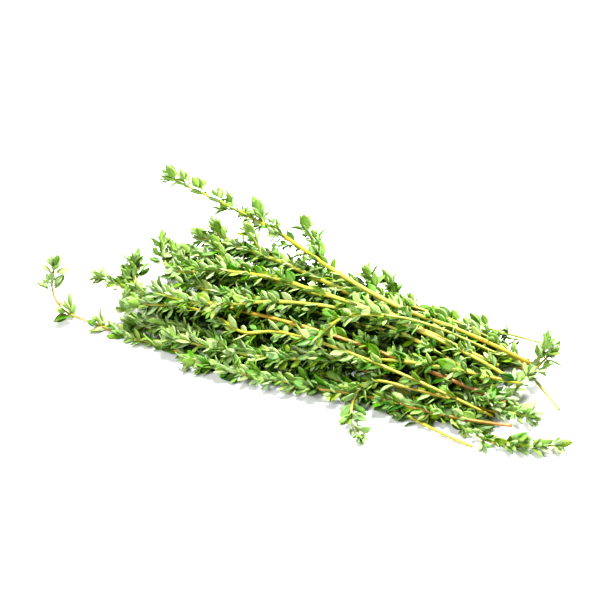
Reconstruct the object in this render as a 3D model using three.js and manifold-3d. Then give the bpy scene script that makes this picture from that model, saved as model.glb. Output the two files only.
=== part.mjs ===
// A bundle of fresh thyme: a loose bunch of cut sprigs that lie side by side and on top of each other
// on a flat surface, with the cut ends at +X and the growing tips at -X.
//
// Every sprig is one solid: a square stem, as thyme has, with opposite pairs of leaves that turn by a
// quarter from pair to pair, a few side shoots, and a tuft at the tip. The leaves' roots are sunk into
// the stem. Stems that would cross are pushed apart, and leaves and shoots that would cross a
// neighbour are turned clear of it. Units are millimetres, +Z is up and the surface is at Z = 0.
import * as THREE from "three";
import { mergeVertices } from "three/addons/utils/BufferGeometryUtils.js";
import Module from "manifold-3d";

const wasm = await Module();
wasm.setup();

// ---- driving dimensions ----
const STEM_SIDES = 4;
const STEM_RADIUS_BUTT = 0.95; // half the diagonal of the square section at the cut end
const STEM_RADIUS_TIP = 0.62;
const RING_STEP = 17; // between two bends of a stem
const STEM_GAP = 0.4; // least space between two stems
const FLAT_DEPTH = 0.12; // how far a stem on the surface is flattened by it
const HIGH = 4; // a sprig that stays above this height is rolled about its own axis

const LEAF_LENGTH = 7;
const LEAF_WIDTH = 3.3;
const LEAF_THICKNESS = 0.9;
const LEAF_GAP = 0.4; // least space between leaves of two sprigs
const PAIR_STEP = 11.5; // between two pairs of leaves
const ROW_PAIR_STEP = 14; // the same, on the sprigs inside the bunch
const TIP_STEP = 1.6; // between a stem's tip and its last pair
const TUFT_LENGTH = 16; // how far from the tip the pairs are closer
const TIP_SIZE = 0.8; // of the leaves at a tip, as a share of a full leaf
const TIP_PITCH = -12; // degrees that the last leaf is bent up from the stem
const TIP_SINK = 0.5; // how far the last leaf's root lies inside the stem's end
const PITCHES = [60, 50, 70, 42]; // degrees between leaf and stem, tried in this order
const TURNS = [0, 90, -90, 180]; // degrees that a leaf is turned round the stem, to get clear

const SHOOT_RADIUS = 0.55;
const SHOOT_BARE = 5; // from a side shoot's root to its first leaves
const SHOOT_BEND = 0.25; // how far its outer half turns towards the sprig's own tip

const SETTLE_PASSES = 120;
const SETTLE_SHARE = 0.6; // share of an overlap that one pass takes away
const STIFFNESS = 0.15; // how strongly a pushed stem keeps its own curve
const STIFF_PASSES = 84; // after these the stems only give way

// Sprigs that show on their own. Each route runs from the cut end to the tip, bare says how much of the
// cut end has no leaves, and shoots lists side shoots as [distance from the cut end, turn round the stem,
// angle with the stem, length]. A turn of 0 is towards +Y, and 90 is up.
const SHOWN = [
  {
    name: "sprig_tall",
    route: [[77, 6, 8], [57, 3, 16], [34, 0, 22], [10, 4, 27], [-19, 15, 30], [-60, 26, 32]],
    girth: 1.15, bare: 12, shoots: [[74, 10, 28, 18], [101, 45, 35, 6]],
  },
  {
    name: "sprig_upper",
    route: [[68, -2, 11], [36, -3, 20], [17, 1, 22], [-17, 7, 24], [-40, 9, 23]],
    girth: 1.1, bare: 10, shoots: [[87, 50, 45, 9], [100, 60, 40, 7]],
  },
  {
    name: "sprig_upper_low",
    route: [[66, 5, 10], [30, 3, 17], [1, -1, 20], [-24, 3, 20], [-43, 4, 19]],
    girth: 1.0, bare: 8, shoots: [[94, 60, 40, 8]],
  },
  {
    name: "sprig_ridge",
    route: [[74, -5, 9], [59, -5, 15], [30, -6, 22.5], [8, -5, 24], [-17, -3, 23], [-40, -8, 20]],
    girth: 1.1, bare: 10, shoots: [],
  },
  {
    name: "sprig_bent",
    route: [[89, -3, 1.1], [77, 5, 5], [64, 7, 13], [44, 8, 17], [10, 9, 19], [-30, 13, 19]],
    girth: 0.9, bare: 24, shoots: [[72, 60, 60, 7]],
  },
  {
    name: "sprig_back_butt",
    route: [[77, 15, 11], [55, 13, 13], [30, 11, 15], [0, 12, 17], [-38, 15, 17]],
    girth: 0.75, bare: 14, shoots: [[48, 60, 60, 7]],
  },
  {
    name: "sprig_middle",
    route: [[70, -9, 9], [40, -7, 18], [19, -6, 21], [-6, -12, 21], [-24, -18, 18], [-44, -16, 16]],
    girth: 0.9, bare: 8, shoots: [],
  },
  {
    name: "sprig_crossing",
    route: [[66, 1, 13.5], [50, -3, 20], [36.5, -7.5, 25], [29, -14, 26], [20, -17.5, 25], [16, -23, 21]],
    girth: 0.75, bare: 30, shoots: [],
  },
  {
    name: "sprig_orange",
    route: [[74, -12, 6], [36, -14, 14], [7, -15, 17], [-14, -14, 16], [-46, -12, 14]],
    girth: 1.05, bare: 6, shoots: [],
  },
  {
    name: "sprig_yellow",
    route: [[72, -18, 4], [35, -19, 13], [4, -17, 14], [-12, -21, 13], [-28, -15, 13], [-50, -20, 12]],
    girth: 0.85, bare: 6, shoots: [],
  },
  {
    name: "sprig_right",
    route: [[76, -5, 9], [61, -10, 12], [43, -15, 14], [20, -20, 12], [-6, -25, 8], [-34, -25, 7]],
    girth: 1.0, bare: 3, shoots: [],
  },
  {
    name: "sprig_trailing",
    route: [[74, -14, 3], [52, -20, 8], [38, -21, 10], [31, -25, 7], [31, -31, 1.2], [37.5, -40, 1]],
    girth: 0.8, bare: 16, shoots: [],
  },
  {
    name: "sprig_front_edge",
    route: [[78, -17, 2], [60, -23, 4], [36, -24, 4], [8, -28, 4], [-25, -30, 3]],
    girth: 1.0, bare: 5, shoots: [],
  },
  {
    name: "sprig_front_butt",
    route: [[70, -30, 1], [54, -27, 1.6], [28, -21, 4], [0, -21, 6], [-42, -19, 6]],
    girth: 1.05, bare: 22, shoots: [],
  },
  {
    name: "sprig_hooked",
    route: [
      [66, -18, 1], [0, -24, 1], [-38, -24, 1], [-62, -22, 1], [-75, -23, 4], [-80.5, -21, 10],
      [-80.5, -18, 17.5],
    ],
    girth: 0.85, bare: 8, shoots: [],
  },
  {
    name: "sprig_reversed",
    route: [[38, -14, 3], [60, -22, 2], [77, -26, 1.2], [93, -20, 1.6]],
    girth: 0.75, bare: 16, shoots: [[42, 60, 45, 6]],
  },
  {
    name: "sprig_reversed_high",
    route: [[44, -8, 10], [64, -10, 5.5], [76, -7, 5], [75, 3, 8], [80, 12, 10]],
    girth: 0.75, bare: 16, shoots: [[44, 100, 45, 7]],
  },
  {
    name: "sprig_reversed_low",
    route: [[42, -10, 6], [62, -14, 3.5], [82, -12, 3]],
    girth: 0.75, bare: 12, shoots: [[24, 60, 45, 7]],
  },
  {
    name: "sprig_left",
    route: [[66, 2, 5], [0, -4, 8], [-46, -10, 8], [-70, -7, 9]],
    girth: 0.95, bare: 8, shoots: [[122, 30, 40, 8]],
  },
  {
    name: "sprig_left_upright",
    route: [[69, -3, 4], [0, -8, 10], [-44, -13, 10], [-57, -7, 11], [-59, -2, 15]],
    girth: 0.95, bare: 8, shoots: [],
  },
  {
    name: "sprig_left_low",
    route: [[75, -9, 2], [0, -14, 4], [-34, -17, 3], [-52, -17, 4], [-56, -14, 9]],
    girth: 0.9, bare: 6, shoots: [],
  },
  {
    name: "sprig_left_high",
    route: [[66, 0, 9], [0, -6, 16], [-32, -9, 16], [-48, -2, 17], [-52, 4, 21]],
    girth: 0.95, bare: 8, shoots: [],
  },
  {
    name: "sprig_left_back",
    route: [[62, 10, 8], [0, 5, 15], [-34, -2, 17], [-47, 3, 20]],
    girth: 0.9, bare: 8, shoots: [[84, 80, 40, 8]],
  },
];

// The sprigs inside the bunch lie in rows, one row on the other. The lowest row lies on the surface.
const ROWS = [
  { count: 5, height: 0.4, middle: 2 },
  { count: 3, height: 6, middle: 6 },
  { count: 2, height: 11, middle: 7 },
];
const ROW_SPACING = 8.5;
const ROW_BUTT_X = 70;
const ROW_WAY_X = [34, -26];
const ROW_TIP_X = -44;
const ROW_SEED = 7;
const LEAF_SEED = 100;

// ---- small helpers ----

// A seeded random number generator (mulberry32) that returns numbers from 0 to 1.
function randomFrom(seed) {
  let state = seed >>> 0;
  return () => {
    state = (state + 0x6d2b79f5) >>> 0;
    let mixed = Math.imul(state ^ (state >>> 15), state | 1);
    mixed = (mixed + Math.imul(mixed ^ (mixed >>> 7), mixed | 61)) ^ mixed;
    return ((mixed ^ (mixed >>> 14)) >>> 0) / 4294967296;
  };
}

const radians = THREE.MathUtils.degToRad;
const vector = ([x, y, z]) => new THREE.Vector3(x, y, z);

// A direction with two directions across it. Without a roll, side is level.
function crossing(along, roll) {
  const side = along.clone().cross(new THREE.Vector3(0, 0, 1)).normalize().applyAxisAngle(along, roll);
  return { along, side, up: side.clone().cross(along) };
}

// The place of one bend of a line, with the mean of the directions before and after it.
function frameAt(line, index, roll) {
  const before = line[Math.max(index - 1, 0)];
  const after = line[Math.min(index + 1, line.length - 1)];
  return { point: line[index], ...crossing(after.clone().sub(before).normalize(), roll) };
}

function lengthOf(line) {
  return line.slice(1).reduce((sum, point, i) => sum + point.distanceTo(line[i]), 0);
}

// The place at a distance along a line, with the directions along and across it.
function placeAt(line, distance, roll = 0) {
  let left = distance;
  for (let i = 1; i < line.length; i++) {
    const step = line[i].distanceTo(line[i - 1]);
    if (left <= step || i === line.length - 1) {
      const point = line[i - 1].clone().lerp(line[i], left / step);
      return { point, ...crossing(line[i].clone().sub(line[i - 1]).normalize(), roll) };
    }
    left -= step;
  }
}

// ---- the routes of the stems ----

// A route through a few points, as a line of straight pieces that are about RING_STEP long.
function lineThrough(points) {
  const curve = new THREE.CatmullRomCurve3(points.map(vector), false, "catmullrom", 0.5);
  const pieces = Math.max(2, Math.round(curve.getLength() / RING_STEP));
  return Array.from({ length: pieces + 1 }, (_, i) => curve.getPoint(i / pieces));
}

// The routes in the rows: nearly parallel, gathered at the cut ends and fanned out at the tips.
function rowSprigs() {
  const random = randomFrom(ROW_SEED);
  const jitter = (size) => (random() * 2 - 1) * size;
  const sprigs = [];
  for (const row of ROWS) {
    for (let i = 0; i < row.count; i++) {
      const lane = row.middle + (i - (row.count - 1) / 2) * ROW_SPACING;
      const butt = ROW_BUTT_X + jitter(8);
      const tip = ROW_TIP_X + jitter(10);
      const height = row.height + (row.height > HIGH ? jitter(1.5) : 0);
      sprigs.push({
        name: `sprig_${String(sprigs.length + 1).padStart(2, "0")}`,
        route: [
          [butt, lane * 0.9 - 3 + jitter(2), row.height * 0.75],
          [ROW_WAY_X[0], lane - 1 + jitter(2), height],
          [ROW_WAY_X[1], lane * 1.05 + jitter(3), height],
          [tip, lane * 1.15 + jitter(4), row.height + random() * 4],
        ],
        girth: 0.8 + random() * 0.35,
        bare: 6 + random() * 10,
        shoots: [],
        pairStep: ROW_PAIR_STEP,
      });
    }
  }
  return sprigs;
}

function stemRadius(sprig, share) {
  return THREE.MathUtils.lerp(STEM_RADIUS_BUTT * sprig.girth, STEM_RADIUS_TIP, share);
}

// The closest points of two straight pieces, as the share along each.
function closestShares(a0, a1, b0, b1) {
  const a = a1.clone().sub(a0);
  const b = b1.clone().sub(b0);
  const r = a0.clone().sub(b0);
  const aa = a.dot(a);
  const bb = b.dot(b);
  const ab = a.dot(b);
  const ar = a.dot(r);
  const br = b.dot(r);
  const denominator = aa * bb - ab * ab;
  const clamp = (x) => THREE.MathUtils.clamp(x, 0, 1);
  let s = denominator > 1e-9 ? clamp((ab * br - ar * bb) / denominator) : 0.5;
  const t = clamp((ab * s + br) / bb);
  s = clamp((ab * t - ar) / aa);
  return [s, t];
}

// Pushes the stems apart until none comes closer to another than STEM_GAP, and keeps them on or above
// the surface. A pushed stem keeps nearly its own curve.
function settle(sprigs) {
  const rest = sprigs.map(({ line }) => line.map((p) => p.clone()));
  for (let pass = 0; pass < SETTLE_PASSES; pass++) {
    const pushes = sprigs.map(({ line }) => line.map(() => new THREE.Vector3()));
    for (let i = 0; i < sprigs.length; i++) {
      for (let j = i + 1; j < sprigs.length; j++) {
        pushApart(sprigs[i], sprigs[j], pushes[i], pushes[j]);
      }
    }
    const easing = pass < STIFF_PASSES ? STIFFNESS : 0;
    sprigs.forEach((sprig, i) => {
      sprig.line.forEach((point, k) => point.addScaledVector(pushes[i][k], SETTLE_SHARE));
      ease(sprig.line, rest[i], easing);
      sprig.line.forEach((point, k) => {
        const radius = stemRadius(sprig, k / (sprig.line.length - 1));
        point.z = Math.max(point.z, radius * Math.SQRT1_2 - FLAT_DEPTH);
      });
    });
  }
}

function pushApart(one, other, onePushes, otherPushes) {
  const a = one.line;
  const b = other.line;
  for (let i = 1; i < a.length; i++) {
    for (let j = 1; j < b.length; j++) {
      if (Math.abs(a[i].x - b[j].x) > RING_STEP * 2) continue;
      const [s, t] = closestShares(a[i - 1], a[i], b[j - 1], b[j]);
      const between = a[i - 1].clone().lerp(a[i], s).sub(b[j - 1].clone().lerp(b[j], t));
      const wanted =
        stemRadius(one, (i - 1 + s) / (a.length - 1)) +
        stemRadius(other, (j - 1 + t) / (b.length - 1)) +
        STEM_GAP;
      const distance = between.length();
      if (distance >= wanted || distance < 1e-6) continue;
      between.multiplyScalar((wanted - distance) / distance / 2);
      onePushes[i - 1].addScaledVector(between, 1 - s);
      onePushes[i].addScaledVector(between, s);
      otherPushes[j - 1].addScaledVector(between, t - 1);
      otherPushes[j].addScaledVector(between, -t);
    }
  }
}

// Moves each inner point of a line part of the way back to the bend that it had at rest.
function ease(line, rest, share) {
  const bend = (points, i) =>
    points[i - 1].clone().add(points[i + 1]).multiplyScalar(0.5).sub(points[i]);
  for (let i = 1; i < line.length - 1; i++) {
    line[i].addScaledVector(bend(line, i).sub(bend(rest, i)), share);
  }
}

// ---- what is already there, as balls in a grid ----

const CROWD_CELL = 2.5; // more than two balls and the gap between them
const BALL_STEP = 0.8; // between the balls along a stem

class Crowd {
  balls = new Map();

  index(value) {
    return Math.floor(value / CROWD_CELL);
  }

  add(owner, kind, balls) {
    for (const { point, radius } of balls) {
      const key = [point.x, point.y, point.z].map((v) => this.index(v)).join();
      if (!this.balls.has(key)) this.balls.set(key, []);
      this.balls.get(key).push({ owner, kind, point, radius });
    }
  }

  // True if no ball comes nearer than gap to what is there. Only leaves count within one sprig.
  takes(owner, balls, gap) {
    return balls.every(({ point, radius }) => {
      if (point.z - radius < 0) return false;
      const [cx, cy, cz] = [point.x, point.y, point.z].map((v) => this.index(v));
      for (let x = cx - 1; x <= cx + 1; x++) {
        for (let y = cy - 1; y <= cy + 1; y++) {
          for (let z = cz - 1; z <= cz + 1; z++) {
            for (const other of this.balls.get([x, y, z].join()) ?? []) {
              const own = other.owner === owner;
              if (own && other.kind === "stem") continue;
              const wanted = radius + other.radius + (own ? 0 : gap);
              if (point.distanceTo(other.point) < wanted) return false;
            }
          }
        }
      }
      return true;
    });
  }
}

function stemBalls(line, radiusAt) {
  const length = lengthOf(line);
  const count = Math.ceil(length / BALL_STEP);
  return Array.from({ length: count + 1 }, (_, i) => ({
    point: placeAt(line, (i / count) * length).point,
    radius: radiusAt(i / count),
  }));
}

// ---- leaves ----

// Where a leaf's corners lie, from root to tip: the share of its length and of half its width. The
// middle one is the top of its domed upper face.
const LEAF_CORNERS = [[0, 0], [0.42, 1], [0.5, 0], [0.75, 0.74], [1, 0]];

// Balls that fill a leaf: the share of its length, of half its width and of its thickness, and a radius.
const LEAF_BALLS = [
  [0.22, 0, 0.3, 0.4], [0.36, 0, 0.4, 0.45], [0.52, 0, 0.45, 0.5], [0.68, 0, 0.4, 0.45],
  [0.82, 0, 0.25, 0.35], [0.95, 0, 0.1, 0.2], [0.28, 0.45, 0.15, 0.35], [0.28, -0.45, 0.15, 0.35],
  [0.45, 0.6, 0.2, 0.4], [0.45, -0.6, 0.2, 0.4], [0.64, 0.55, 0.15, 0.35], [0.64, -0.55, 0.15, 0.35],
  [0.42, 0.92, 0.05, 0.15], [0.42, -0.92, 0.05, 0.15], [0.74, 0.68, 0.05, 0.15], [0.74, -0.68, 0.05, 0.15],
];

// A leaf's place: its root on the stem's axis, the way that it points, and the way that its face looks.
function leafPose(place, turn, pitch, length) {
  const outward = place.side.clone().multiplyScalar(Math.cos(turn))
    .addScaledVector(place.up, Math.sin(turn));
  const along = place.along.clone().multiplyScalar(Math.cos(pitch))
    .addScaledVector(outward, Math.sin(pitch));
  const face = place.along.clone().multiplyScalar(Math.sin(pitch))
    .addScaledVector(outward, -Math.cos(pitch));
  return { root: place.point, along, face, across: along.clone().cross(face), length };
}

// A point of a leaf, from shares of its length, of half its width and of its thickness.
function leafPoint(pose, reach, across, height) {
  const size = pose.length / LEAF_LENGTH;
  return pose.root.clone()
    .addScaledVector(pose.along, reach * pose.length)
    .addScaledVector(pose.face, height * LEAF_THICKNESS)
    .addScaledVector(pose.across, across * (LEAF_WIDTH / 2) * size);
}

// A leaf with six corners, flat below and domed above, from a coarse sphere.
function leafGeometry(pose) {
  const geometry = new THREE.SphereGeometry(1, 6, 2);
  const position = geometry.getAttribute("position");
  for (let i = 0; i < position.count; i++) {
    const [reach, width] = LEAF_CORNERS[Math.round((position.getX(i) + 1) * 2)];
    const height = Math.round(Math.max(position.getY(i), 0));
    const point = leafPoint(pose, reach, Math.sign(Math.round(position.getZ(i) * 2)) * width, height);
    position.setXYZ(i, point.x, point.y, point.z);
  }
  return geometry;
}

function leafBalls(pose) {
  return LEAF_BALLS.map(([reach, across, height, radius]) => ({
    point: leafPoint(pose, reach, across, height),
    radius,
  }));
}

// ---- one sprig ----

// The first pose of a leaf in which it crosses nothing, or null.
function clearLeaf(crowd, owner, place, turn, length) {
  for (const pitch of PITCHES) {
    for (const extra of TURNS) {
      const pose = leafPose(place, turn + radians(extra), radians(pitch), length);
      const balls = leafBalls(pose);
      if (crowd.takes(owner, balls, LEAF_GAP)) {
        crowd.add(owner, "leaf", balls);
        return pose;
      }
    }
  }
  return null;
}

// Leaves along a line as far back as a distance from its start: one that carries on the stem at its
// tip, and pairs behind it, each a quarter turn on from the last, closer and smaller near the tip.
function leavesAlong(crowd, sprig, line, from) {
  const { name, roll, random, pairStep = PAIR_STEP } = sprig;
  const length = lengthOf(line);
  const start = random() < 0.5 ? 0 : 1;
  const poses = [clearTip(crowd, name, placeAt(line, length - TIP_SINK, roll))];
  let back = TIP_STEP;
  for (let pair = start; back < length - from; pair++) {
    const place = placeAt(line, length - back, roll);
    const nearTip = Math.max(1 - back / TUFT_LENGTH, 0);
    for (const half of [0, 1]) {
      const turn = (pair * Math.PI) / 2 + half * Math.PI;
      const share = THREE.MathUtils.lerp(1, TIP_SIZE, nearTip);
      const size = LEAF_LENGTH * share * (0.85 + random() * 0.25);
      poses.push(clearLeaf(crowd, name, place, turn, size));
    }
    back += THREE.MathUtils.lerp(pairStep, TIP_STEP * 2, nearTip) * (0.85 + random() * 0.3);
  }
  return poses.filter((pose) => pose);
}

function clearTip(crowd, owner, place) {
  const pose = leafPose(place, -Math.PI / 2, radians(TIP_PITCH), LEAF_LENGTH * TIP_SIZE);
  const balls = leafBalls(pose).slice(1);
  if (!crowd.takes(owner, balls, LEAF_GAP)) return null;
  crowd.add(owner, "leaf", balls);
  return pose;
}

// A side shoot: a thin stem that leaves its sprig and bends a little towards the sprig's own tip.
function shootLine(line, [distance, turn, pitch, length]) {
  const place = placeAt(line, distance);
  const { along } = leafPose(place, radians(turn), radians(pitch), length);
  const middle = place.point.clone().addScaledVector(along, length / 2);
  const onward = along.lerp(place.along, SHOOT_BEND).normalize();
  return [place.point, middle, middle.clone().addScaledVector(onward, length / 2)];
}

// A stem with a square section along a line: a cylinder whose rings are moved to the line's points.
function stemGeometry(line, roll, radiusAt) {
  const pieces = line.length - 1;
  const turn = Math.PI / STEM_SIDES;
  const geometry = new THREE.CylinderGeometry(1, 1, 1, STEM_SIDES, pieces, false, turn);
  const position = geometry.getAttribute("position");
  for (let i = 0; i < position.count; i++) {
    const ring = Math.round((position.getY(i) + 0.5) * pieces);
    const { point, side, up } = frameAt(line, ring, roll);
    const radius = radiusAt(ring / pieces);
    const moved = point.clone()
      .addScaledVector(side, position.getX(i) * radius)
      .addScaledVector(up, position.getZ(i) * radius);
    position.setXYZ(i, moved.x, moved.y, moved.z);
  }
  return geometry;
}

function solidOf(geometry) {
  geometry.deleteAttribute("normal");
  geometry.deleteAttribute("uv");
  const merged = mergeVertices(geometry, 1e-4);
  return new wasm.Manifold(
    new wasm.Mesh({
      numProp: 3,
      vertProperties: merged.getAttribute("position").array,
      triVerts: new Uint32Array(merged.index.array),
    }),
  );
}

function geometryOf(solid) {
  const mesh = solid.getMesh();
  return new THREE.BufferGeometry()
    .setAttribute("position", new THREE.BufferAttribute(mesh.vertProperties, 3))
    .setIndex(new THREE.BufferAttribute(mesh.triVerts, 1));
}

// ---- the bundle ----

function sprigOf(sprig, index) {
  const random = randomFrom(LEAF_SEED + index);
  const high = sprig.route.every(([, , z]) => z > HIGH);
  return { ...sprig, line: lineThrough(sprig.route), random, roll: high ? random() * Math.PI : 0 };
}

const sprigs = [...SHOWN, ...rowSprigs()].map(sprigOf);
settle(sprigs);

const crowd = new Crowd();
for (const sprig of sprigs) {
  crowd.add(sprig.name, "stem", stemBalls(sprig.line, (share) => stemRadius(sprig, share)));
}

for (const sprig of sprigs) {
  sprig.branches = sprig.shoots.map((shoot) => shootLine(sprig.line, shoot));
  for (const branch of sprig.branches) {
    crowd.add(sprig.name, "stem", stemBalls(branch, () => SHOOT_RADIUS));
  }
}

// The sprigs that show on their own come first, so they find the most room for their leaves.
for (const sprig of sprigs) {
  sprig.leaves = leavesAlong(crowd, sprig, sprig.line, sprig.bare);
  for (const branch of sprig.branches) {
    sprig.leaves.push(...leavesAlong(crowd, sprig, branch, SHOOT_BARE));
  }
}

// What the lowest stems lie on. It flattens them where they touch it.
const ground = solidOf(new THREE.BoxGeometry(400, 400, 20).translate(0, 0, -10));

function sprigMesh(sprig) {
  const stems = [
    stemGeometry(sprig.line, sprig.roll, (share) => stemRadius(sprig, share)),
    ...sprig.branches.map((branch) => stemGeometry(branch, sprig.roll, () => SHOOT_RADIUS)),
  ];
  const parts = [...stems, ...sprig.leaves.map(leafGeometry)].map(solidOf);
  const green = new THREE.MeshStandardMaterial({ color: 0x7fa648, roughness: 0.6, metalness: 0 });
  const mesh = new THREE.Mesh(geometryOf(wasm.Manifold.union(parts).subtract(ground)), green);
  mesh.name = sprig.name;
  return mesh;
}

const bundle = new THREE.Group();
bundle.add(...sprigs.map(sprigMesh));
const box = new THREE.Box3().setFromObject(bundle);
const middle = box.getCenter(new THREE.Vector3());
bundle.position.set(-middle.x, -middle.y, -box.min.z);

export default bundle;
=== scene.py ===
"""A bundle of fresh thyme on a pale floor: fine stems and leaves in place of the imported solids.

The sprigs follow the same routes as the solids, and carry the same leaves by the same rule, so each
stays where its solid is. Between those leaves come the ones that the solids leave out: more pairs,
the short shoots in the axils and the young leaves at the tips. Shapes are worked out in millimetres,
in the coordinates of the routes, and moved into the frame, in metres, when a mesh is made.
"""
import math

import bpy
import numpy as np
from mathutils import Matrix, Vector


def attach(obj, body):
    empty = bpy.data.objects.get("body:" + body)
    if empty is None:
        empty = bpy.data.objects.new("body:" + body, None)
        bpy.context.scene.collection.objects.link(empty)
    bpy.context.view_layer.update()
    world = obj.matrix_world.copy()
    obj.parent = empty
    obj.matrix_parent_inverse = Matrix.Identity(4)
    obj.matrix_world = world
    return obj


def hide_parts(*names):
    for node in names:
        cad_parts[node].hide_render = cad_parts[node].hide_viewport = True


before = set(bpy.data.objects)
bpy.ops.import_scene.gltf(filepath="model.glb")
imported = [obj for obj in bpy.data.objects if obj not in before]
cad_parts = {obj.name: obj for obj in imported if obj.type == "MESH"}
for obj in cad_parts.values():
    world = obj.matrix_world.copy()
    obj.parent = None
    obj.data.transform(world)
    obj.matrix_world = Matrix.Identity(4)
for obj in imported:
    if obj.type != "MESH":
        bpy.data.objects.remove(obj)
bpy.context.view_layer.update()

# ---- driving dimensions of the solids, in millimetres ----
MM = 0.001
STEM_RADIUS_BUTT = 0.95  # half the diagonal of the square section at the cut end
STEM_RADIUS_TIP = 0.62
RING_STEP = 17  # between two bends of a stem
STEM_GAP = 0.4  # least space between two stems
FLAT_DEPTH = 0.12  # how far a stem on the surface is flattened by it
HIGH = 4  # a sprig that stays above this height is rolled about its own axis

LEAF_LENGTH = 7
LEAF_WIDTH = 3.3
LEAF_THICKNESS = 0.9  # of a leaf of the solids
LEAF_GAP = 0.4
PAIR_STEP = 11.5  # between two pairs of leaves
ROW_PAIR_STEP = 14  # the same, on the sprigs inside the bunch
TIP_STEP = 1.6
TUFT_LENGTH = 16  # how far from the tip the pairs are closer
TIP_SIZE = 0.8
TIP_PITCH = -12
TIP_SINK = 0.5
PITCHES = [60, 50, 70, 42]  # degrees between leaf and stem, tried in this order
TURNS = [0, 90, -90, 180]  # degrees that a leaf is turned round the stem, to get clear
LEAF_VARIES = (0.85, 0.25)  # least share of its size, and range
STEP_VARIES = (0.85, 0.3)  # the same of the step to the next pair

SHOOT_RADIUS = 0.55
SHOOT_BARE = 5
SHOOT_BEND = 0.25

SETTLE_PASSES = 120
SETTLE_SHARE = 0.6
STIFFNESS = 0.15
STIFF_PASSES = 84

# ---- the sprigs, and how the fine model dresses them ----
LEAFY_REACH = 35  # over which the leaves on top get denser, away from the cut end
LEAFY_ALL = -LEAFY_REACH  # the leafy_from of a sprig that is dense all along

# What holds unless a sprig says otherwise.
LOOK = {
    "pair_step": PAIR_STEP,
    "leafy_from": 35,  # distance from the cut end at which the leaves on top begin to get denser
    "cover": 1.1,  # leaves at each node that lie along the top of the stem, on average
    "axils": 0.72,  # share of the leaves that have a short shoot in their axil
    "leaf": 1,  # size of the leaves between those of the solids
    "openness": 1,  # how far the leaves stand off the stem
    "fresh": 0,  # how much younger and paler the leaves look; partly painted light, which pales leaves that lie in shade
    "tufts": (),  # distances from the tip, where leaves stand in tufts only
    "tip_tiers": 4,  # pairs of young leaves that close the tip
    "fine_girth": 0.82,  # of the stem
}
SHOOT_LOOK = {**LOOK, "leafy_from": LEAFY_ALL, "cover": 1.2, "axils": 0.75, "leaf": 1.2}


def sprig_of(name, route, girth, bare, ripe, shoots=(), **look):
    """A sprig. Its route runs from the cut end to the tip, and bare is how much of it has no leaf of the
    solids. Ripe says how far its colour has gone at the cut end: 0 is green, 0.5 yellow, 0.75 orange and
    1 red brown. A side shoot is its distance from the cut end, its turn round the stem and its pitch, in
    degrees, and its length."""
    return {**LOOK, "name": name, "route": route, "girth": girth, "bare": bare, "ripe": ripe,
            "shoots": shoots, **look}


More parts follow.
